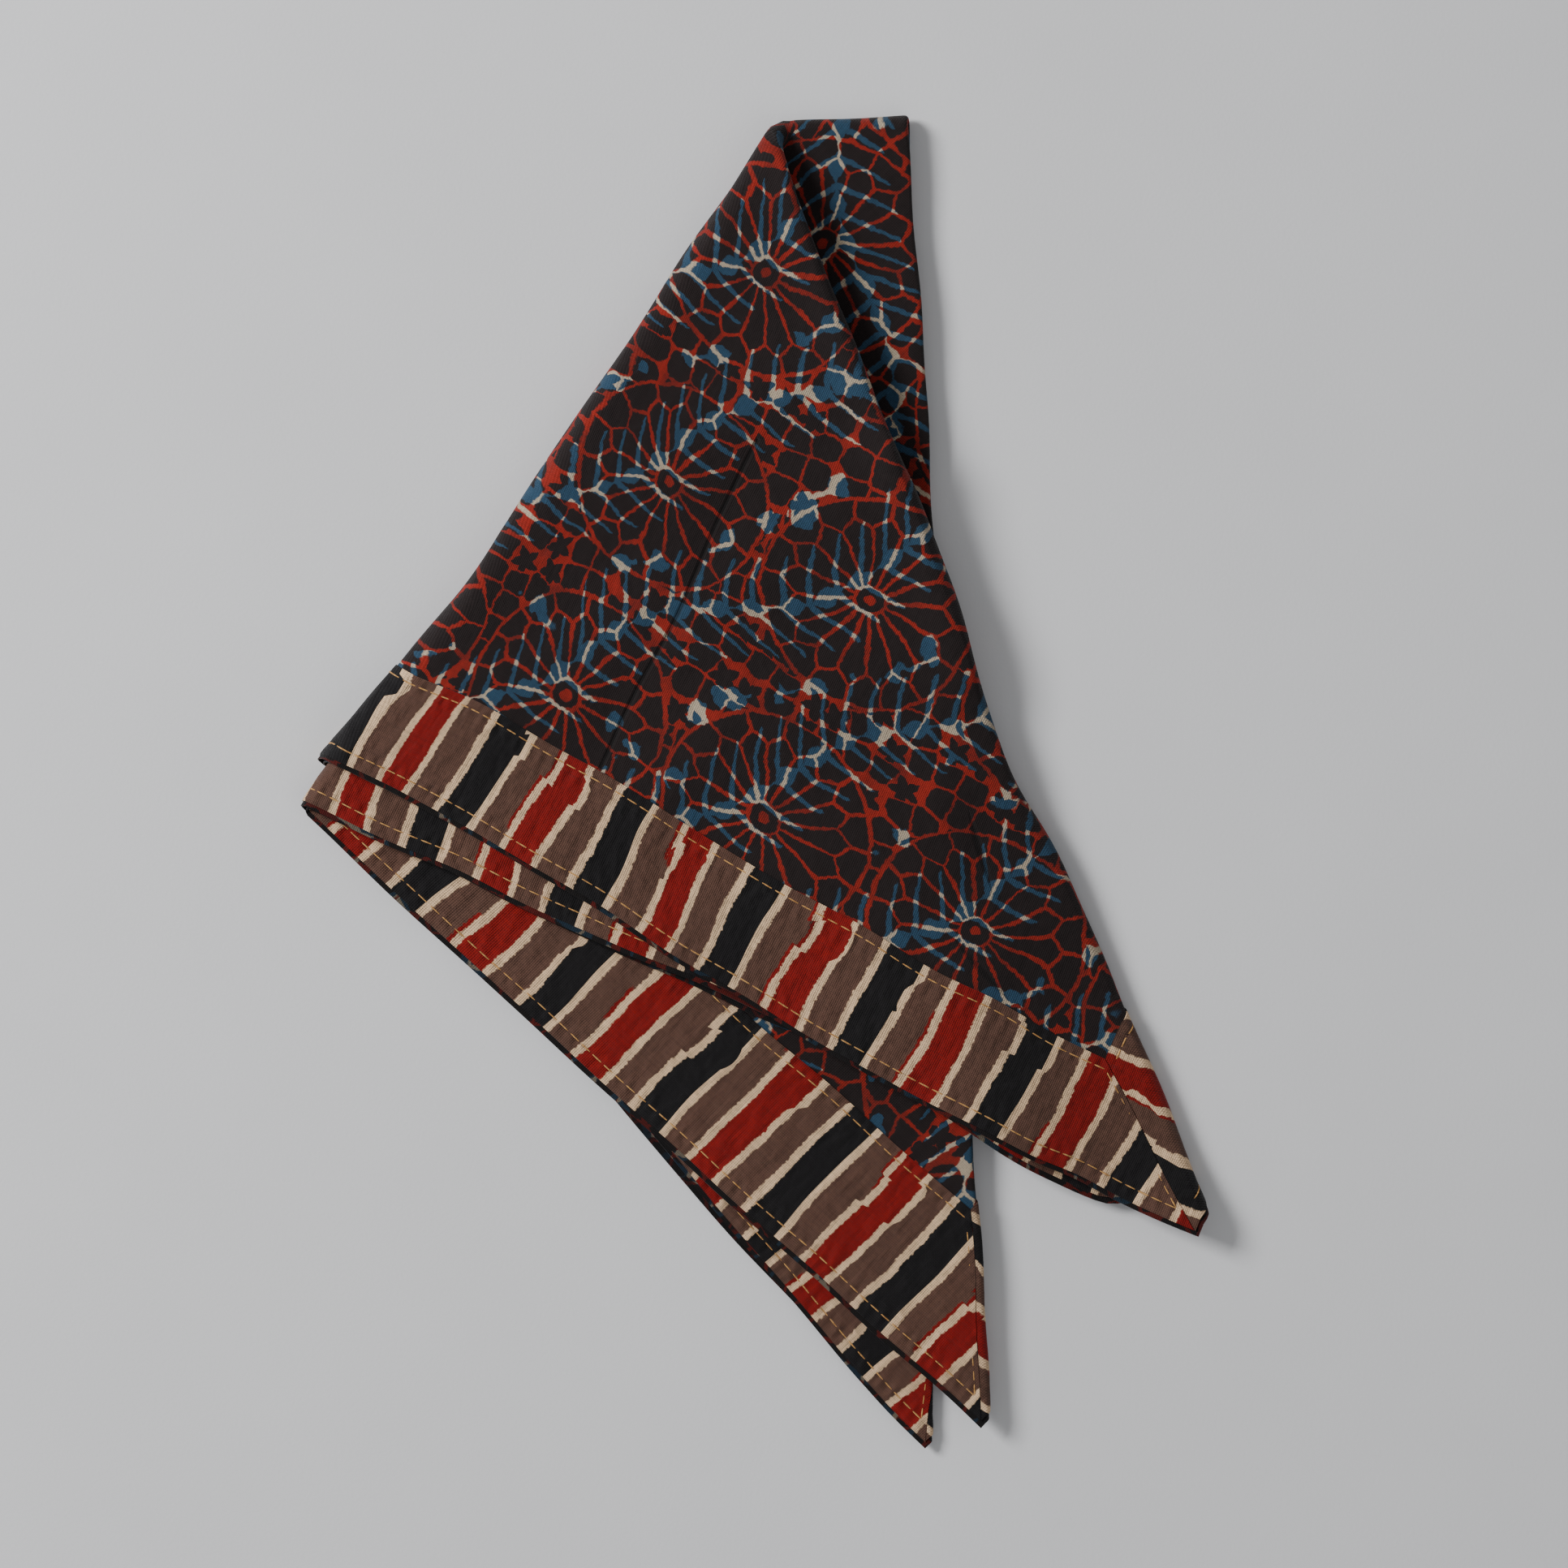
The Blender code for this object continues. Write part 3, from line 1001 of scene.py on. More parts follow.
class Graph(Nodes):
    """A material's nodes, with short calls for those that this script uses."""

    def __init__(self, name: str) -> None:
        """Starts an empty material of this name."""
        self.material = bpy.data.materials.new(name)
        self.material.use_nodes = True
        super().__init__(self.material.node_tree)
        self.tree.nodes.clear()

    def angle(self, up: Value, across: Value) -> Signal:
        """Gives the angle of a direction, from -pi to pi."""
        return self.maths("ARCTAN2", up, across)

    def length(self, across: Value, up: Value) -> Signal:
        """Gives a flat vector's length."""
        return self.maths("SQRT", across * across + up * up)

    def vector(self, across: Value, up: Value, deep: Value = 0.0) -> Signal:
        """Joins numbers into a vector."""
        return self.add("ShaderNodeCombineXYZ", None, {0: across, 1: up, 2: deep})

    def parts(self, value: Signal) -> tuple[Signal, Signal]:
        """Gives a vector's first two numbers."""
        first = self.add("ShaderNodeSeparateXYZ", None, {0: value})
        return first, Signal(self, first.socket.node.outputs[1])

    def pattern_mm(self) -> tuple[Signal, Signal]:
        """Gives the place on the flat cloth, in millimetres from the square's middle."""
        across, up = self.parts(self.add("ShaderNodeUVMap", {"uv_map": "pattern"}))
        span = SIDE / MM
        return across * span - span / 2, up * span - span / 2

    def noise(
        self, place: Signal, size: float, detail: float = 2.0, output: str | int = 0
    ) -> Signal:
        """Adds soft noise, of a grain size given in the place's own unit."""
        inputs = {"Vector": place, "Scale": 1.0 / size, "Detail": detail, "Roughness": 0.55}
        return self.add("ShaderNodeTexNoise", {"noise_dimensions": "3D"}, inputs, output)

    def mix(self, share: Value, first: Value, second: Value) -> Signal:
        """Mixes two colours."""
        inputs = {0: share, 6: first, 7: second}
        return self.add("ShaderNodeMix", {"data_type": "RGBA"}, inputs, 2)

    def brighten(self, colour: Value, factor: Value) -> Signal:
        """Multiplies a colour by a number."""
        grey = self.vector(factor, factor, factor)
        settings = {"data_type": "RGBA", "blend_type": "MULTIPLY"}
        return self.add("ShaderNodeMix", settings, {0: 1.0, 6: colour, 7: grey}, 2)

    def bump(self, height: Signal, depth: float, below: Signal | None = None) -> Signal:
        """Turns heights into a normal, of a given full depth in metres."""
        inputs: dict[str | int, Value] = {"Height": height, "Distance": depth, "Strength": 1.0}
        if below is not None:
            inputs["Normal"] = below
        return self.add("ShaderNodeBump", None, inputs)

    def weave(self, across: Signal, up: Signal) -> Signal:
        """Gives the height of a plain weave, from 0 to 1, with threads of uneven thickness."""
        drift = self.noise(self.vector(across, up), 3.0) * 0.5
        warp, weft = across / THREAD_PITCH_MM + drift, up / THREAD_PITCH_MM - drift
        over = ((warp.floor() + weft.floor()) * 0.5).fraction() * 2.0
        warp_round = abs((warp * math.pi).sine())
        weft_round = abs((weft * math.pi).sine())
        first = warp_round * (weft_round * 0.6 + 0.4)
        second = weft_round * (warp_round * 0.6 + 0.4)
        return first * over + second * (1.0 - over)

    def threads(self, across: Signal, up: Signal) -> Signal:
        """Gives the unevenness of the threads, both ways of the weave, about 0.5."""
        weft = self.noise(self.vector(across / 14.0, up / 0.75), 1.0, 1.0)
        warp = self.noise(self.vector(across / 0.75, up / 14.0), 1.0, 1.0)
        return (weft + warp) * 0.5

    def finish(
        self, colour: Value, roughness: Value, normal: Signal, sheen: float
    ) -> bpy.types.Material:
        """Ends the graph in a matt cloth surface.

        Args:
            colour: Base colour.
            roughness: Roughness.
            normal: Bumped normal.
            sheen: Weight of the fibres' soft sheen.

        Returns:
            The finished material.
        """
        inputs = {
            "Base Color": colour,
            "Roughness": roughness,
            "Normal": normal,
            "Sheen Weight": sheen,
            "Sheen Roughness": 0.5,
            "Specular IOR Level": 0.25,
        }
        surface = self.add("ShaderNodeBsdfPrincipled", None, inputs)
        self.add("ShaderNodeOutputMaterial", None, {"Surface": surface})
        return self.material


@dataclass(frozen=True)
class Rosettes:
    """The print's dark cells in a net of lines: rosettes in a lattice, packed discs between.

    Lengths are in millimetres on the flat cloth.

    Attributes:
        width: Distance from one rosette to the next, across.
        height: The same, up.
        origin: Middle of one rosette.
        petals: Long cells round a rosette.
        heart: Radius of the ring round its middle.
        dot: Radius of the dot in its middle.
        petal_end: Radius where the long cells are shortest.
        point: How much longer they are at their points.
        rim: The rosette's radius.
        outside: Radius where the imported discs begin.
        line: Half the width of the rosette's lines.
        disc_pitch: Distance between packed discs.
        disc: Radius of the largest disc.
        disc_line: Half the width of the lines between discs.
        scatter: How unevenly the discs lie, from 0 to 1.
        plain: Share of the discs that are plain, and not stars.
        star_arms: Points of a star.
        star_waist: Radius between them.
        star_point: How far they stand out from that.
    """

    width: float = 56.5
    height: float = 49.5
    origin: tuple[float, float] = (105.5, -84.5)
    petals: int = 16
    heart: float = 3.4
    dot: float = 0.85
    petal_end: float = 16.2
    point: float = 6.0
    rim: float = 23.3
    outside: float = 23.7
    line: float = 0.41
    disc_pitch: float = 6.5
    disc: float = 3.7
    disc_line: float = 0.31
    scatter: float = 0.42
    plain: float = 0.70
    star_arms: int = 5
    star_waist: float = 1.95
    star_point: float = 1.9

    def rosette(self, graph: Graph, x: Signal, y: Signal) -> tuple[Signal, Signal]:
        """Draws the rosette's net.

        Args:
            graph: The material's graph.
            x: Place across, from the rosette's middle.
            y: Place up.

        Returns:
            The distance from a line, and the distance from the rosette's middle.
        """
        radius = graph.length(x, y)
        turn = graph.angle(y, x) * (self.petals / (2 * math.pi))
        off_line = abs(turn - round(turn))
        end = self.petal_end + off_line * self.point
        arc = radius * (2 * math.pi / self.petals)
        long_cells = (off_line * arc).at_least(self.heart - radius).at_least(radius - end)
        outer_cells = ((0.5 - off_line) * arc).at_least(end - radius).at_least(radius - self.rim)
        net = long_cells.at_most(outer_cells).at_most(abs(radius - end) * 0.85)
        net = net.at_most(abs(radius - self.rim)).at_most(abs(radius - self.heart))
        return net.at_most(radius - self.dot), radius

    def star(self, graph: Graph, x: Signal, y: Signal) -> Signal:
        """Draws a star: positive inside."""
        turn = graph.angle(y, x) * (self.star_arms / (2 * math.pi))
        tip = 1.0 - abs(turn - round(turn)) * 2.0
        return self.star_waist + tip * self.star_point - graph.length(x, y)

    def between(self, graph: Graph, x: Signal, y: Signal) -> Signal:
        """Draws packed discs and stars: the distance inside one."""
        place = graph.vector(x, y)
        inputs = {"Vector": place, "Scale": 1 / self.disc_pitch, "Randomness": self.scatter}
        settings = {"voronoi_dimensions": "2D", "feature": "DISTANCE_TO_EDGE"}
        edge = graph.add("ShaderNodeTexVoronoi", settings, inputs, "Distance")
        settings = {"voronoi_dimensions": "2D", "feature": "F1"}
        nearest = graph.add("ShaderNodeTexVoronoi", settings, inputs, "Position")
        middle_x, middle_y = graph.parts(nearest)
        chance = graph.parts(Signal(graph, nearest.socket.node.outputs["Color"]))[0]
        local_x, local_y = x - middle_x, y - middle_y
        inside = self.disc - graph.length(local_x, local_y)
        cell = (edge * self.disc_pitch - self.disc_line).at_most(inside)
        starry = chance.above(self.plain)
        return cell * (1.0 - starry) + self.star(graph, local_x, local_y) * starry

    def net(self, graph: Graph, x: Signal, y: Signal, swell: Signal) -> Signal:
        """Gives where the net's lines are, from 0 to 1.

        Args:
            graph: The material's graph.
            x: Place across the flat cloth.
            y: Place up it.
            swell: How much the lines are widened here.

        Returns:
            The mask.
        """
        from_x, from_y = x - self.origin[0], y - self.origin[1]
        inner, radius = self.rosette(graph, from_x.repeat(self.width), from_y.repeat(self.height))
        outer = self.between(graph, x, y).at_most(radius - self.outside)
        beyond = radius.above(self.rim)
        signed = (inner - self.line) * (1.0 - beyond) + outer * beyond - swell
        return 1.0 - signed.ramp(-DYE_EDGE_MM, DYE_EDGE_MM)


@dataclass(frozen=True)
class Fronds:
    """The blue part of the print: rows of fronds and of bead chains along the lattice's diagonal.

    Lengths are in millimetres on the flat cloth.

    Attributes:
        lattice: The rosettes that they pass between.
        stem_rise: How far a stem lies from the rosettes' row.
        stem_sway: How far it sways to each side.
        stem_start: Where along the row its sway starts.
        stem: Half the stem's middle width.
        lobe_pitch: Distance between the stem's lobes.
        lobe: How much a lobe adds.
        leaf_pitch: Distance between leaflets.
        leaf: Half a leaflet's width at the stem.
        leaf_taper: How much it narrows in a millimetre.
        leaf_lean: How far it leans back in a millimetre.
        leaf_curl: How much more it leans as it goes out.
        leaf_reach: Least length of a leaflet.
        chain_drop: How far a chain lies from the rosettes' row.
        chain_sway: How far it sways to each side.
        bead_pitch: Distance between beads.
        bead: A bead's radius.
        link: Half the width of the line that joins them.
    """

    lattice: Rosettes
    stem_rise: float = 7.5
    stem_sway: float = 3.5
    stem_start: float = 9.0
    stem: float = 1.15
    lobe_pitch: float = 8.35
    lobe: float = 1.0
    leaf_pitch: float = 6.26
    leaf: float = 0.72
    leaf_taper: float = 0.028
    leaf_lean: float = 0.45
    leaf_curl: float = 0.014
    leaf_reach: float = 6.5
    chain_drop: float = 14.0
    chain_sway: float = 2.5
    bead_pitch: float = 9.39
    bead: float = 2.55
    link: float = 0.6

    def mask(self, graph: Graph, x: Signal, y: Signal) -> Signal:
        """Gives where the blue fronds, bead chains and fills are, from 0 to 1."""
        width, height = self.lattice.width, self.lattice.height
        diagonal = math.hypot(width, height)
        unit_x, unit_y = width / diagonal, height / diagonal
        row = width * height / diagonal
        stagger = width * unit_x
        wave = 2 * math.pi / diagonal
        from_x, from_y = x - self.lattice.origin[0], y - self.lattice.origin[1]
        run = -(from_x * unit_x + from_y * unit_y)
        rise = from_y * unit_x - from_x * unit_y
        place = graph.vector(x, y)
        loose = graph.noise(place, 12.0)
        number = round((rise - self.stem_rise) / row)
        own_run = run - number * stagger
        sway = ((own_run - self.stem_start) * wave).sine() * self.stem_sway
        off_stem = abs(rise - number * row - self.stem_rise - sway)
        lobes = (own_run * (2 * math.pi / self.lobe_pitch)).cosine() * self.lobe
        stem = self.stem + lobes - off_stem
        lean = own_run - off_stem * self.leaf_lean - off_stem * off_stem * self.leaf_curl
        past = (off_stem - self.leaf_reach - loose * 9.0).at_least(0.0)
        across = abs(lean.repeat(self.leaf_pitch)) * 0.9
        leaflets = self.leaf - off_stem * self.leaf_taper - across - past
        number = round((rise + self.chain_drop) / row)
        own_run = run - number * stagger
        sway = (own_run * wave).cosine() * self.chain_sway
        off_chain = abs(rise - number * row + self.chain_drop + sway)
        beads = self.bead - graph.length(own_run.repeat(self.bead_pitch) * 0.9, off_chain)
        broken = (loose - 0.44).at_least(0.0) * 30.0
        beads = beads.at_least(self.link - off_chain) - broken
        fills = (graph.noise(place, 17.0, 1.0) - 0.70) * 30.0
        left_dark = (graph.noise(place, 6.0, 1.0) - 0.54).at_least(0.0) * 40.0
        broad = beads.at_least(fills) - left_dark
        return stem.at_least(leaflets).at_least(broad).ramp(-0.15, 0.2)


@dataclass(frozen=True)
class Tuck:
    """A short sharp crease, widest in its middle. Lengths are in millimetres on the flat cloth.

    Attributes:
        x: Place of its middle, across.
        y: The same, up.
        heading: Its direction, in degrees.
        half: Half its length.
    """

    x: float
    y: float
    heading: float
    half: float

    def distance(self, x: Signal, y: Signal) -> Signal:
        """Gives the distance from it, less in its middle and more towards its ends."""
        out_x, out_y = x - self.x, y - self.y
        c, s = math.cos(math.radians(self.heading)), math.sin(math.radians(self.heading))
        share = (out_x * c + out_y * s) / self.half
        return abs(out_y * c - out_x * s) * 0.6 + share * share * 0.6


@dataclass(frozen=True)
class PrintFinish:
    """Block-printed cotton: dark cells in a red net, with blue fronds over it.

    Lengths are in millimetres on the flat cloth.

    Attributes:
        name: The material's name.
        ground: Colour of the cells.
        blue: Colour of the fronds.
        red: Colour of the net's fresh lines.
        old_red: Colour of its worn lines.
        cream: Colour of its lines where a frond crosses them.
        painted_shade_factor: How bright the whole print is; below 1 it is painted shade over all of it.
        rosettes: The net.
        tucks: Short creases.
        wide_waver: How far the print wavers, widely.
        fine_waver: How far it wavers, finely.
        soft_relief: Depth of the cloth's soft unevenness, in metres.
        crease_relief: Depth of a pressed crease, in metres.
        weave_relief: Depth of the weave, in metres.
    """

    name: str
    ground: tuple[float, ...] = linear(27, 18, 18)
    blue: tuple[float, ...] = linear(32, 62, 84)
    red: tuple[float, ...] = linear(140, 29, 17)
    old_red: tuple[float, ...] = linear(86, 24, 17)
    cream: tuple[float, ...] = linear(168, 153, 132)
    painted_shade_factor: float = 1.0
    rosettes: Rosettes = Rosettes()
    tucks: tuple[Tuck, ...] = (Tuck(169.0, -138.3, -64.0, 8.5), Tuck(143.5, -128.4, -34.1, 9.5))
    wide_waver: float = 2.2
    fine_waver: float = 0.9
    soft_relief: float = 0.0007
    crease_relief: float = 0.0004
    weave_relief: float = 0.00011

    def creases(self, x: Signal, y: Signal) -> Signal:
        """Gives where the sharp pressed creases are, from 0 to 1; the print is darkened there as painted shade, and
        sunk by the bump.
        """
        nearest = abs(y + 49.0 + (x * 0.11).sine() * 0.25).at_least(abs(x - 129.0) - 44.0)
        for tuck in self.tucks:
            nearest = nearest.at_most(tuck.distance(x, y))
        return 1.0 - nearest.ramp(0.1, 0.75)

    def build(self) -> bpy.types.Material:
        """Makes the material."""
        graph = Graph(self.name)
        x, y = graph.pattern_mm()
        place = graph.vector(x, y)
        wide = graph.parts(graph.noise(place, 8.0, 1.0, 1))
        fine = graph.parts(graph.noise(place, 1.1, 1.0, 1))
        warped_x, warped_y = (
            own + (wide[axis] - 0.5) * self.wide_waver + (fine[axis] - 0.5) * self.fine_waver
            for axis, own in enumerate((x, y))
        )
        swell = (graph.noise(place, 13.0, 1.0) - 0.52) * 0.7
        lines = self.rosettes.net(graph, warped_x, warped_y, swell)
        blue = Fronds(self.rosettes).mask(graph, warped_x, warped_y)
        weave = graph.weave(x, y)
        dye = graph.noise(place, 9.0, 3.0)
        grain = graph.noise(place, 0.5, 2.0)
        worn = dye.ramp(0.42, 0.66) * 0.6 + grain.ramp(0.45, 0.7) * 0.35
        field_colour = graph.mix(blue, self.ground, self.blue)
        line_red = graph.mix(worn, self.red, self.old_red)
        line_colour = graph.mix(blue, line_red, self.cream)
        wash = graph.mix(lines, field_colour, line_colour)
        crease_and_shade = self.creases(x, y)
        threads = graph.threads(x, y)
        # The pressed creases and tucks take 0.6 off the brightness: painted shade in the creases.
        # The weave's height lightens thread crowns and darkens the gaps between threads: painted shade of the weave;
        # grain and threads are the cotton's own uneven tone.
        light = 0.33 + weave * 0.28 + grain * 0.44 + threads * 0.64 - crease_and_shade * 0.6
        # The print darkens to 0.3 of its brightness within 1 mm of the cloth's edge, coming back by 2.4 mm: painted
        # shade where the hem turns under.
        from_edge = HALF_SIDE / MM - abs(x).at_least(abs(y))
        light = light * (0.3 + from_edge.ramp(1.0, 2.4) * 0.7)
        colour = graph.brighten(wash, light * self.painted_shade_factor)
        roughness = 0.8 + grain * 0.16 - blue * 0.04
        soft = graph.bump(graph.noise(place, 6.0, 2.0), self.soft_relief)
        pressed = graph.bump(1.0 - crease_and_shade, self.crease_relief, soft)
        woven = weave + grain * 0.3 + threads * 1.5
        normal = graph.bump(woven, self.weave_relief, pressed)
        return graph.finish(colour, roughness, normal, COTTON_SHEEN)


@dataclass(frozen=True)
class Stripe:
    """One printed stripe of the border cloth: its width in millimetres and its colour."""

    width: float
    colour: tuple[float, ...]


BLACK = linear(15, 12, 14)
CREAM = linear(214, 181, 145)
BROWN = linear(87, 60, 49)
DEEP_RED = linear(124, 7, 2)
STRIPES = (
    Stripe(6.7, BLACK),
    Stripe(1.65, CREAM),
    Stripe(6.1, BROWN),
    Stripe(1.6, CREAM),
    Stripe(6.15, DEEP_RED),
    Stripe(1.65, CREAM),
    Stripe(6.1, BROWN),
    Stripe(1.65, CREAM),
)


@dataclass(frozen=True)
class StripeFinish:
    """Printed cotton in leaning stripes across a strip. Lengths are in millimetres.

    Attributes:
        name: The material's name.
        phase: Place along the strip of the middle of a black stripe.
        lean: How far a stripe runs along the strip in a millimetre across it.
        inner_seam: Distance of the inner stitches from the cloth's edge.
        join: How far the stripes start anew where two lengths meet, out of sight.
        outer_seam: Distance of the outer stitches from the cloth's edge.
        stitch: Distance from one stitch to the next.
        middle: Distance of the strip's middle from the cloth's edge.
        soft_relief: Depth of the strip's soft unevenness, in metres.
        seam_relief: Depth of its puckers, in metres.
        weave_relief: Depth of the weave, in metres.
        stripes: One repeat of the stripes.
    """

    name: str
    phase: float
    lean: float
    inner_seam: float = 31.3
    join: float = 0.0
    outer_seam: float = 4.1
    stitch: float = 3.0
    middle: float = 16.0
    soft_relief: float = 0.0010
    seam_relief: float = 0.00016
    weave_relief: float = 0.00013
    stripes: tuple[Stripe, ...] = STRIPES

    def period(self) -> float:
        """Gives the length of one repeat of the stripes."""
        return sum(stripe.width for stripe in self.stripes)

    def past_red(self) -> float:
        """Gives the place just past the red stripe and its cream line, where stray dye shows."""
        return sum(stripe.width for stripe in self.stripes[:6]) + 0.25

    def bands(self, graph: Graph, run: Signal, seep: Signal) -> Signal:
        """Colours the stripes.

        Args:
            graph: The material's graph.
            run: Place along the pattern, from the first stripe's start.
            seep: Uneven dye, from 0 to 1.

        Returns:
            The colour.
        """
        run = (run / self.period()).fraction() * self.period()
        colour: Value = self.stripes[0].colour
        edge = 0.0
        for before, stripe in zip(self.stripes, self.stripes[1:]):
            edge += before.width
            share = (run - edge + seep).ramp(-DYE_EDGE_MM, DYE_EDGE_MM)
            colour = graph.mix(share, colour, stripe.colour)
        return colour

    def build(self) -> bpy.types.Material:
        """Makes the material."""
        graph = Graph(self.name)
        along, depth = graph.pattern_mm()
        depth = depth + SIDE / MM / 2
        place = graph.vector(along, depth)
        ragged = graph.noise(place, 3.4, 2.0) - 0.5
        sway = (graph.noise(place, 30.0, 1.0) - 0.5) * 4.0
        step = (depth - 16.5 + (along * 0.05).sine() * 3.0).ramp(-0.2, 0.2)
        step = step * graph.noise(place, 15.0, 0.0).ramp(0.60, 0.62)
        lean = (depth - self.middle) * self.lean
        joined = along.ramp(60.0, 110.0) * self.join
        run = along - self.phase + self.stripes[0].width / 2 + lean + sway + step + joined
        seep = (graph.noise(place, 0.8, 1.0) - 0.5) * 0.75 + ragged
        colour = self.bands(graph, run, seep)
        off_fringe = abs((run + seep - self.past_red()).repeat(self.period()))
        fringe = (off_fringe - 0.34).at_least((0.53 - graph.noise(place, 22.0, 0.0)) * 8.0)
        colour = graph.mix(1.0 - fringe.ramp(-0.12, 0.12), colour, DEEP_RED)
        weave = graph.weave(along, depth)
        grain = graph.noise(place, 0.6, 2.0)
        dye = graph.noise(place, 7.0, 3.0)
        threads = graph.threads(along, depth)
        # The weave's height lightens thread crowns and darkens the gaps between threads: painted shade of the weave;
        # grain, dye and threads are the cotton's own uneven tone.
        light = 0.10 + weave * 0.4 + grain * 0.44 + dye * 0.22 + threads * 0.76
        roughness = 0.78 + grain * 0.18
        from_seam = abs(depth - self.outer_seam).at_most(abs(depth - self.inner_seam))
        pucker = (along * (2 * math.pi / self.stitch)).cosine() * (1.0 - from_seam.ramp(0.2, 3.0))
        drawn = graph.noise(graph.vector(along / 2.2, depth / 7.0), 1.0, 1.0)
        soft = graph.bump(graph.noise(place, 4.0, 2.0) + drawn * 0.6, self.soft_relief)
        sunk = (1.0 - from_seam.ramp(0.0, 0.7)) * 0.8
        sewn = graph.bump(pucker - sunk, self.seam_relief, soft)
        woven = weave + grain * 0.25 + threads * 1.5
        normal = graph.bump(woven, self.weave_relief, sewn)
        return graph.finish(graph.brighten(colour, light), roughness, normal, COTTON_SHEEN)


@dataclass(frozen=True)
class ThreadFinish:
    """Tan sewing thread, twisted."""

    name: str = "tan_thread"
    colour: tuple[float, ...] = linear(200, 152, 90)
    dark: tuple[float, ...] = linear(152, 106, 56)

    def build(self) -> bpy.types.Material:
        """Makes the material."""
        graph = Graph(self.name)
        place = graph.add("ShaderNodeTexCoord", None, None, "Object")
        grain = graph.noise(place, 0.0006, 2.0)
        strand = graph.noise(place, 0.00012, 1.0)
        colour = graph.mix(grain.ramp(0.35, 0.7), self.colour, self.dark)
        return graph.finish(colour, 0.6 + strand * 0.3, graph.bump(strand, 0.00005), 0.1)


@dataclass(frozen=True)
class FloorFinish:
    """Plain pale floor."""

    name: str = "pale_floor"
    colour: tuple[float, ...] = linear(226, 226, 228)
    shade: tuple[float, ...] = linear(218, 218, 220)

    def build(self) -> bpy.types.Material:
        """Makes the material."""
        graph = Graph(self.name)
        place = graph.add("ShaderNodeTexCoord", None, None, "Object")
        mottle = graph.noise(place, 0.05, 3.0)
        grain = graph.noise(place, 0.0008, 2.0)
        colour = graph.mix(mottle, self.colour, self.shade)
        return graph.finish(colour, 0.55 + mottle * 0.2, graph.bump(grain, 0.00003), 0.0)


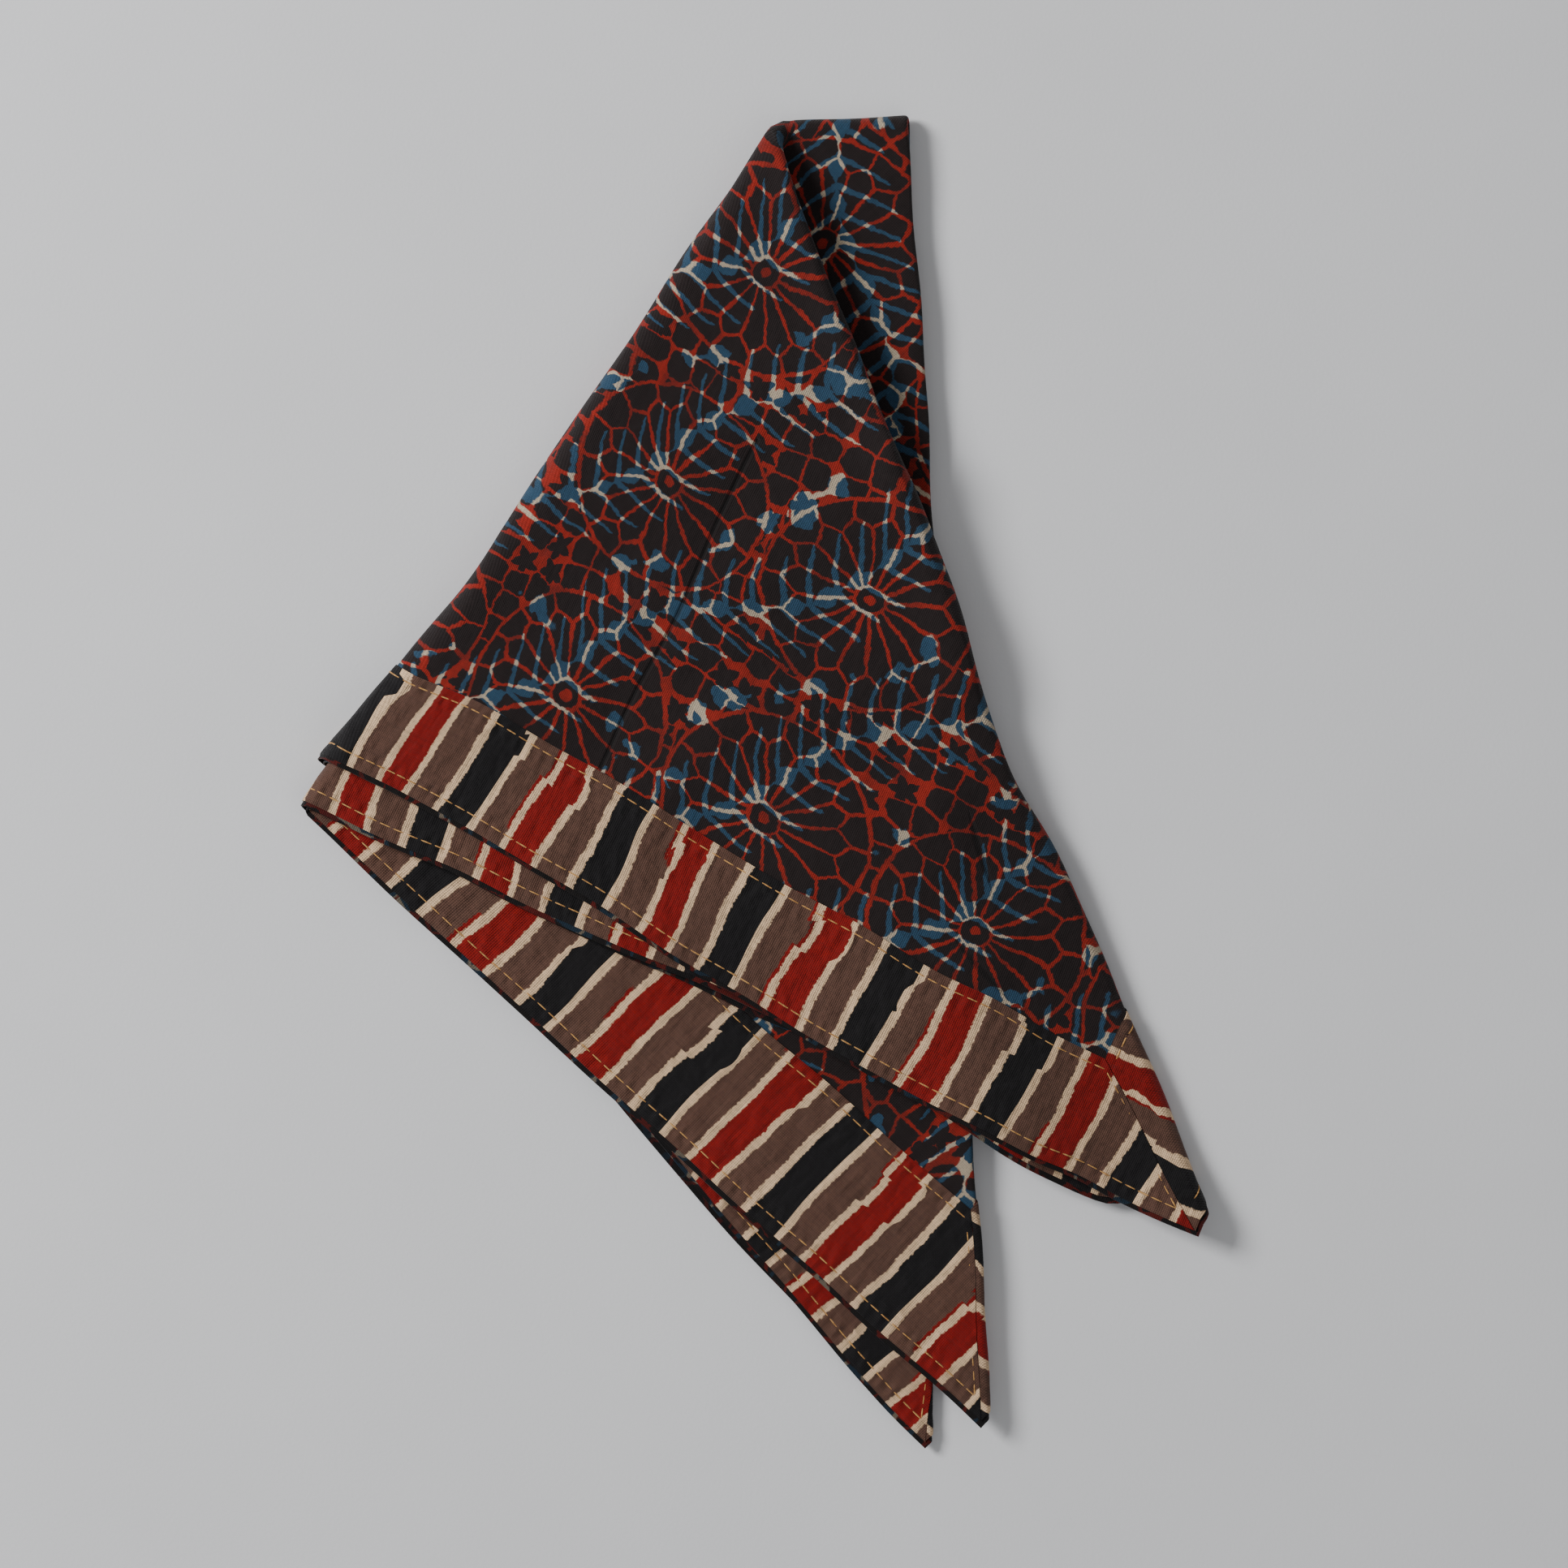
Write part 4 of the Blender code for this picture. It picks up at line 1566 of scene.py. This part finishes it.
@dataclass
class Stitching:
    """Rows of machine stitches along the strips' edges and mitres, as one piece.

    Attributes:
        folding: The fold map.
        strips: The strips that are sewn down.
        pitch: Distance from one stitch to the next.
        shown: Length of a stitch that shows.
        radius: The thread's radius.
        points: Points along a stitch.
        sides: Faces round the thread.
        sunk: How far a stitch's ends go down into the cloth.
        taper: How much thinner it is at its ends.
        uneven: How much thinner some stitches are.
        from_end: Distance of a row from the strip's ends.
        from_mitre: Distance of the mitre's row from the mitre.
        name: The piece's name.
    """

    folding: Folding
    strips: tuple[BorderStrip, ...]
    pitch: float = 0.0030
    shown: float = 0.0028
    radius: float = 0.00018
    points: int = 6
    sides: int = 6
    sunk: float = 0.00018
    taper: float = 0.35
    uneven: float = 0.2
    from_end: float = 0.0015
    from_mitre: float = 0.0016
    name: str = "stitching"

    def rows(self, strip: BorderStrip) -> list[tuple[np.ndarray, np.ndarray]]:
        """Gives the two ends of each row of stitches on a strip, in its own flat axes."""
        rows = []
        mitre = []
        for depth in (strip.rim + strip.outer_stitch, strip.width - strip.inner_stitch):
            low, high = strip.run(depth)
            across = HALF_SIDE - depth
            ends = (low + self.from_end, high - self.from_end)
            rows.append(tuple(np.array((across, along)) for along in ends))
            mitre.append(np.array((across, low + self.from_mitre)))
        rows.append((mitre[0], mitre[1]))
        return rows

    def stitch_points(self, strip: BorderStrip) -> np.ndarray:
        """Gives the flat points of every stitch on a strip, a row of points to a stitch."""
        stitches = []
        shares = np.linspace(-0.5, 0.5, self.points)
        sink = self.sunk * (2 * np.abs(shares)) ** 6
        for start, end in self.rows(strip):
            length = float(np.hypot(*(end - start)))
            unit = (end - start) / length
            for number in range(int(length / self.pitch)):
                middle = start + unit * self.pitch * (number + 0.5)
                flat = middle + np.outer(shares * self.shown, unit)
                flat[:, 0] -= strip.widening(flat)
                height = np.full(self.points, strip.height - strip.thickness / 2) + sink
                stitches.append(np.column_stack((flat, height)))
        points = np.concatenate(stitches)
        turn = np.array(strip.turn())[:3, :3]
        return points @ turn.T

    def path(self) -> bpy.types.Object:
        """Makes the folded line of each stitch, as edges with a fullness at each point."""
        flat = np.concatenate([self.stitch_points(strip) for strip in self.strips])
        flat[:, 2] -= self.radius * 0.2
        folded = self.folding.place(flat)
        count = len(folded) // self.points
        edges = []
        for stitch in range(count):
            first = stitch * self.points
            edges += [(first + step, first + step + 1) for step in range(self.points - 1)]
        mesh = bpy.data.meshes.new(self.name)
        mesh.from_pydata(folded.tolist(), edges, [])
        fullness = mesh.attributes.new("fullness", "FLOAT", "POINT")
        shares = 1.0 - self.taper * np.linspace(-1.0, 1.0, self.points) ** 2
        fullness.data.foreach_set("value", np.tile(shares, count))
        return linked(self.name, mesh)

    def thread_nodes(self) -> bpy.types.GeometryNodeTree:
        """Makes the nodes that run a round thread along each line."""
        tree = bpy.data.node_groups.new("thread_along_lines", "GeometryNodeTree")
        rows = (
            ("Geometry", "Geometry"),
            ("Radius", "Float"),
            ("Sides", "Int"),
            ("Uneven", "Float"),
            ("Seed", "Int"),
            ("Material", "Material"),
        )
        for name, kind in rows:
            tree.interface.new_socket(name, in_out="INPUT", socket_type="NodeSocket" + kind)
        tree.interface.new_socket("Geometry", in_out="OUTPUT", socket_type="NodeSocketGeometry")
        nodes = Nodes(tree)
        group = tree.nodes.new("NodeGroupInput")
        given = {socket.name: Signal(nodes, socket) for socket in group.outputs}
        number = {"data_type": "FLOAT"}
        line = nodes.add("GeometryNodeMeshToCurve", None, {0: given["Geometry"]})
        inputs = {"Name": "fullness"}
        fullness = nodes.add("GeometryNodeInputNamedAttribute", number, inputs, "Attribute")
        inputs = {2: 1.0 - given["Uneven"], 3: 1.0, "Seed": given["Seed"]}
        scale = fullness * nodes.add("FunctionNodeRandomValue", number, inputs, 1)
        inputs = {"Curve": line, "Radius": scale}
        line = nodes.add("GeometryNodeSetCurveRadius", None, inputs)
        inputs = {"Resolution": given["Sides"], "Radius": given["Radius"]}
        ring = nodes.add("GeometryNodeCurvePrimitiveCircle", None, inputs)
        inputs = {"Curve": line, "Profile Curve": ring, "Scale": scale, "Fill Caps": True}
        thread = nodes.add("GeometryNodeCurveToMesh", None, inputs)
        thread = nodes.add("GeometryNodeRealizeInstances", None, {0: thread})
        inputs = {"Geometry": thread, "Material": given["Material"]}
        thread = nodes.add("GeometryNodeSetMaterial", None, inputs)
        nodes.add("NodeGroupOutput", None, {"Geometry": thread})
        return tree

    def make(self, finish: bpy.types.Material) -> bpy.types.Object:
        """Makes the stitches.

        Args:
            finish: The thread's material.

        Returns:
            The finished object.
        """
        piece = self.path()
        tree = self.thread_nodes()
        modifier = piece.modifiers.new("thread", "NODES")
        modifier.node_group = tree
        values = {
            "Radius": self.radius,
            "Sides": self.sides,
            "Uneven": self.uneven,
            "Seed": 7,
            "Material": finish,
        }
        for socket in tree.interface.items_tree:
            if socket.in_out == "INPUT" and socket.name in values:
                modifier[socket.identifier] = values[socket.name]
        applied(piece).shade_smooth()
        return piece


@dataclass
class FoldedCloth:
    """The whole folded cloth: its print, its four border strips and their stitching.

    Attributes:
        folding: The fold map.
        finishes: Each strip's material.
        cotton: Thickness of the printed cloth.
        strip_cotton: Thickness of the strips.
        strip_height: Height of a strip's middle from the printed cloth's, to its face side.
    """

    folding: Folding
    finishes: dict[Quarter, StripeFinish]
    cotton: float = 0.00030
    strip_cotton: float = 0.00025
    strip_height: float = -0.000325

    def cloth(self) -> bpy.types.Object:
        """Makes the printed square, which stands for the plain panel."""
        sheet = PrintedCloth("printed_cloth", self.folding, thickness=self.cotton)
        face = PrintFinish("printed_cotton_face")
        # The back is the same print at half brightness: painted shade.
        back = PrintFinish("printed_cotton_back_painted_shade", painted_shade_factor=0.5)
        piece = sheet.make(face.build(), back.build())
        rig.ride(piece, "root")
        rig.replaces(piece, "printed_panel")
        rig.slot(piece, "print")
        LOG.info("%s: %d faces", piece.name, len(piece.data.polygons))
        return piece

    def strips(self) -> tuple[BorderStrip, ...]:
        """Lists the four strips, each with the widths that it meets at its mitres."""
        rows = (
            ("border_strip_flap_top", Quarter.OUTER_LOW, TOP_BORDER, BORDER, BORDER),
            ("border_strip_lower_second", Quarter.INNER_LOW, BORDER, TOP_BORDER, BORDER),
            ("border_strip_flap_second", Quarter.INNER_HIGH, BORDER, BORDER, BORDER),
            ("border_strip_lower_top", Quarter.OUTER_HIGH, BORDER, BORDER, TOP_BORDER),
        )
        return tuple(
            BorderStrip(
                name,
                self.folding,
                thickness=self.strip_cotton,
                height=self.strip_height,
                side=side,
                width=width,
                before=before,
                after=after,
                bow=0.0024 if side is Quarter.OUTER_LOW else 0.0,
                bow_at=-0.090,
            )
            for name, side, width, before, after in rows
        )

    def make(self) -> None:
        nodes = {
            Quarter.OUTER_LOW: "border_flap_top",
            Quarter.INNER_LOW: "border_lower_second",
            Quarter.INNER_HIGH: "border_flap_second",
            Quarter.OUTER_HIGH: "border_lower_top",
        }
        cloth = self.cloth()
        strips = self.strips()
        for strip in strips:
            piece = strip.make(self.finishes[strip.side].build())
            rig.ride(piece, "root")
            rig.replaces(piece, nodes[strip.side])
            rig.slot(piece, "stripes")
            middle = (strip.width + strip.rim) / 2
            low, high = strip.run(middle)
            area = (strip.width - strip.rim) * (high - low)
            start, end = strip.run(strip.rim)
            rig.sheet(
                piece,
                flat=(strip.width - strip.rim, end - start),
                held="folded",
                area=area,
                rests_on=[cloth],
            )
            LOG.info("%s: %d faces", piece.name, len(piece.data.polygons))
        stitches = Stitching(self.folding, strips).make(ThreadFinish().build())
        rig.ride(stitches, "root")
        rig.slot(stitches, "stripes")
        LOG.info("%s: %d faces", stitches.name, len(stitches.data.polygons))
        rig.sheet(cloth, flat=(SIDE, SIDE), held="folded", with_pieces=[stitches])


@dataclass
class Studio:
    """A plain pale floor, soft light from the left, and a camera straight above.

    Attributes:
        camera_height: Height of the camera.
        view_width: Width of the floor that it sees.
        floor_half: Half the floor's side.
        sky: Strength of the sky.
        lights: Name, place, width and power in watts of each light.
    """

    camera_height: float = 1.5
    view_width: float = 0.341
    floor_half: float = 1.5
    sky: float = 0.30
    lights: tuple[tuple[str, tuple[float, float, float], float, float], ...] = (
        ("key", (-1.15, 0.55, 0.90), 0.5, 30.0),
        ("fill", (0.7, -0.9, 1.3), 1.2, 3.0),
    )

    def floor(self) -> None:
        """Lays the floor."""
        mesh = bmesh.new()
        bmesh.ops.create_grid(mesh, x_segments=8, y_segments=8, size=self.floor_half)
        data = bpy.data.meshes.new("floor")
        mesh.to_mesh(data)
        mesh.free()
        data.materials.append(FloorFinish().build())
        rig.stage(linked("floor", data))

    def light(
        self, name: str, place: tuple[float, float, float], size: float, power: float
    ) -> None:
        """Adds a square light that faces the cloth.

        Args:
            name: The light's name.
            place: Where it is.
            size: Its width.
            power: Its power in watts.
        """
        data = bpy.data.lights.new(name, "AREA")
        data.size = size
        data.energy = power
        lamp = linked(name, data)
        lamp.location = place
        lamp.rotation_euler = (-Vector(place)).to_track_quat("-Z", "Y").to_euler()

    def camera(self) -> None:
        """Adds the camera, which looks straight down."""
        data = bpy.data.cameras.new("camera")
        data.sensor_width = SENSOR_MM
        data.lens = SENSOR_MM * self.camera_height / self.view_width
        camera = linked("camera", data)
        camera.location = (PHOTO_CENTRE_X, PHOTO_CENTRE_Y, self.camera_height)
        bpy.context.scene.camera = camera

    def world(self) -> None:
        """Adds an even pale sky."""
        world = bpy.data.worlds.new("soft_sky")
        world.use_nodes = True
        background = world.node_tree.nodes["Background"]
        background.inputs["Color"].default_value = (0.98, 0.99, 1.0, 1.0)
        background.inputs["Strength"].default_value = self.sky
        bpy.context.scene.world = world

    def build(self) -> None:
        """Sets everything up."""
        self.floor()
        for row in self.lights:
            self.light(*row)
        self.world()
        self.camera()


RIDGES = (
    Ridge((975, 210), (1105, 560), 0.006, 0.0022),
    Ridge((1105, 560), (1200, 830), 0.005, 0.0012),
    Ridge((1452, 1492), (1476, 1512), 0.011, 0.0022),
    Ridge((1050, 1180), (1140, 1080), 0.006, 0.0007),
    Ridge((800, 1010), (880, 900), 0.006, 0.0006),
    Ridge((945, 560), (814, 777), 0.0045, -0.0006),
    Ridge((814, 777), (742, 918), 0.0045, -0.0005),
    Ridge((1180, 1157), (1241, 1224), 0.0045, -0.0005),
    Ridge((1168, 950), (1190, 1110), 0.0045, 0.0005),
    Ridge((1198, 1000), (1220, 1090), 0.0045, -0.0004),
)
HEM_SHIFTS = (
    HemShift(Quarter.INNER_LOW, -0.62, -0.0032, 0.26),
    HemShift(Quarter.INNER_HIGH, -0.86, 0.0102, 0.20),
)
NUDGES = (Nudge((1240, 925), 150.0, (-17.0, 9.0)),)
STRIPE_FINISHES = {
    Quarter.OUTER_LOW: StripeFinish("striped_cotton_flap_top", -27.0, 0.03, 25.3),
    Quarter.INNER_LOW: StripeFinish("striped_cotton_lower_second", -21.0, 0.02),
    Quarter.INNER_HIGH: StripeFinish("striped_cotton_flap_second", -16.8, -0.12),
    Quarter.OUTER_HIGH: StripeFinish("striped_cotton_lower_top", -43.8, 0.02, join=15.8),
}


def write_size(before: tuple[Vector, Vector], after: tuple[Vector, Vector]) -> None:
    """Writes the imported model's box and the dressed one's to a file.

    Args:
        before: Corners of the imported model's box.
        after: Corners of the dressed model's box.
    """
    rows = {
        "cad_low": list(before[0]),
        "cad_high": list(before[1]),
        "visual_low": list(after[0]),
        "visual_high": list(after[1]),
    }
    with open("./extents.json", "w", encoding="utf-8") as file:
        file.write(json.dumps(rows, indent=1) + "\n")


def main() -> None:
    """Builds the scene in order."""
    logging.basicConfig(level=logging.INFO, format="%(name)s: %(message)s")
    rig.load()
    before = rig.bounds()
    Studio().build()
    folding = Folding(ridges=RIDGES, hem_shifts=HEM_SHIFTS, nudges=NUDGES)
    FoldedCloth(folding, STRIPE_FINISHES).make()
    write_size(before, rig.bounds())


if __name__ == "__main__":
    main()
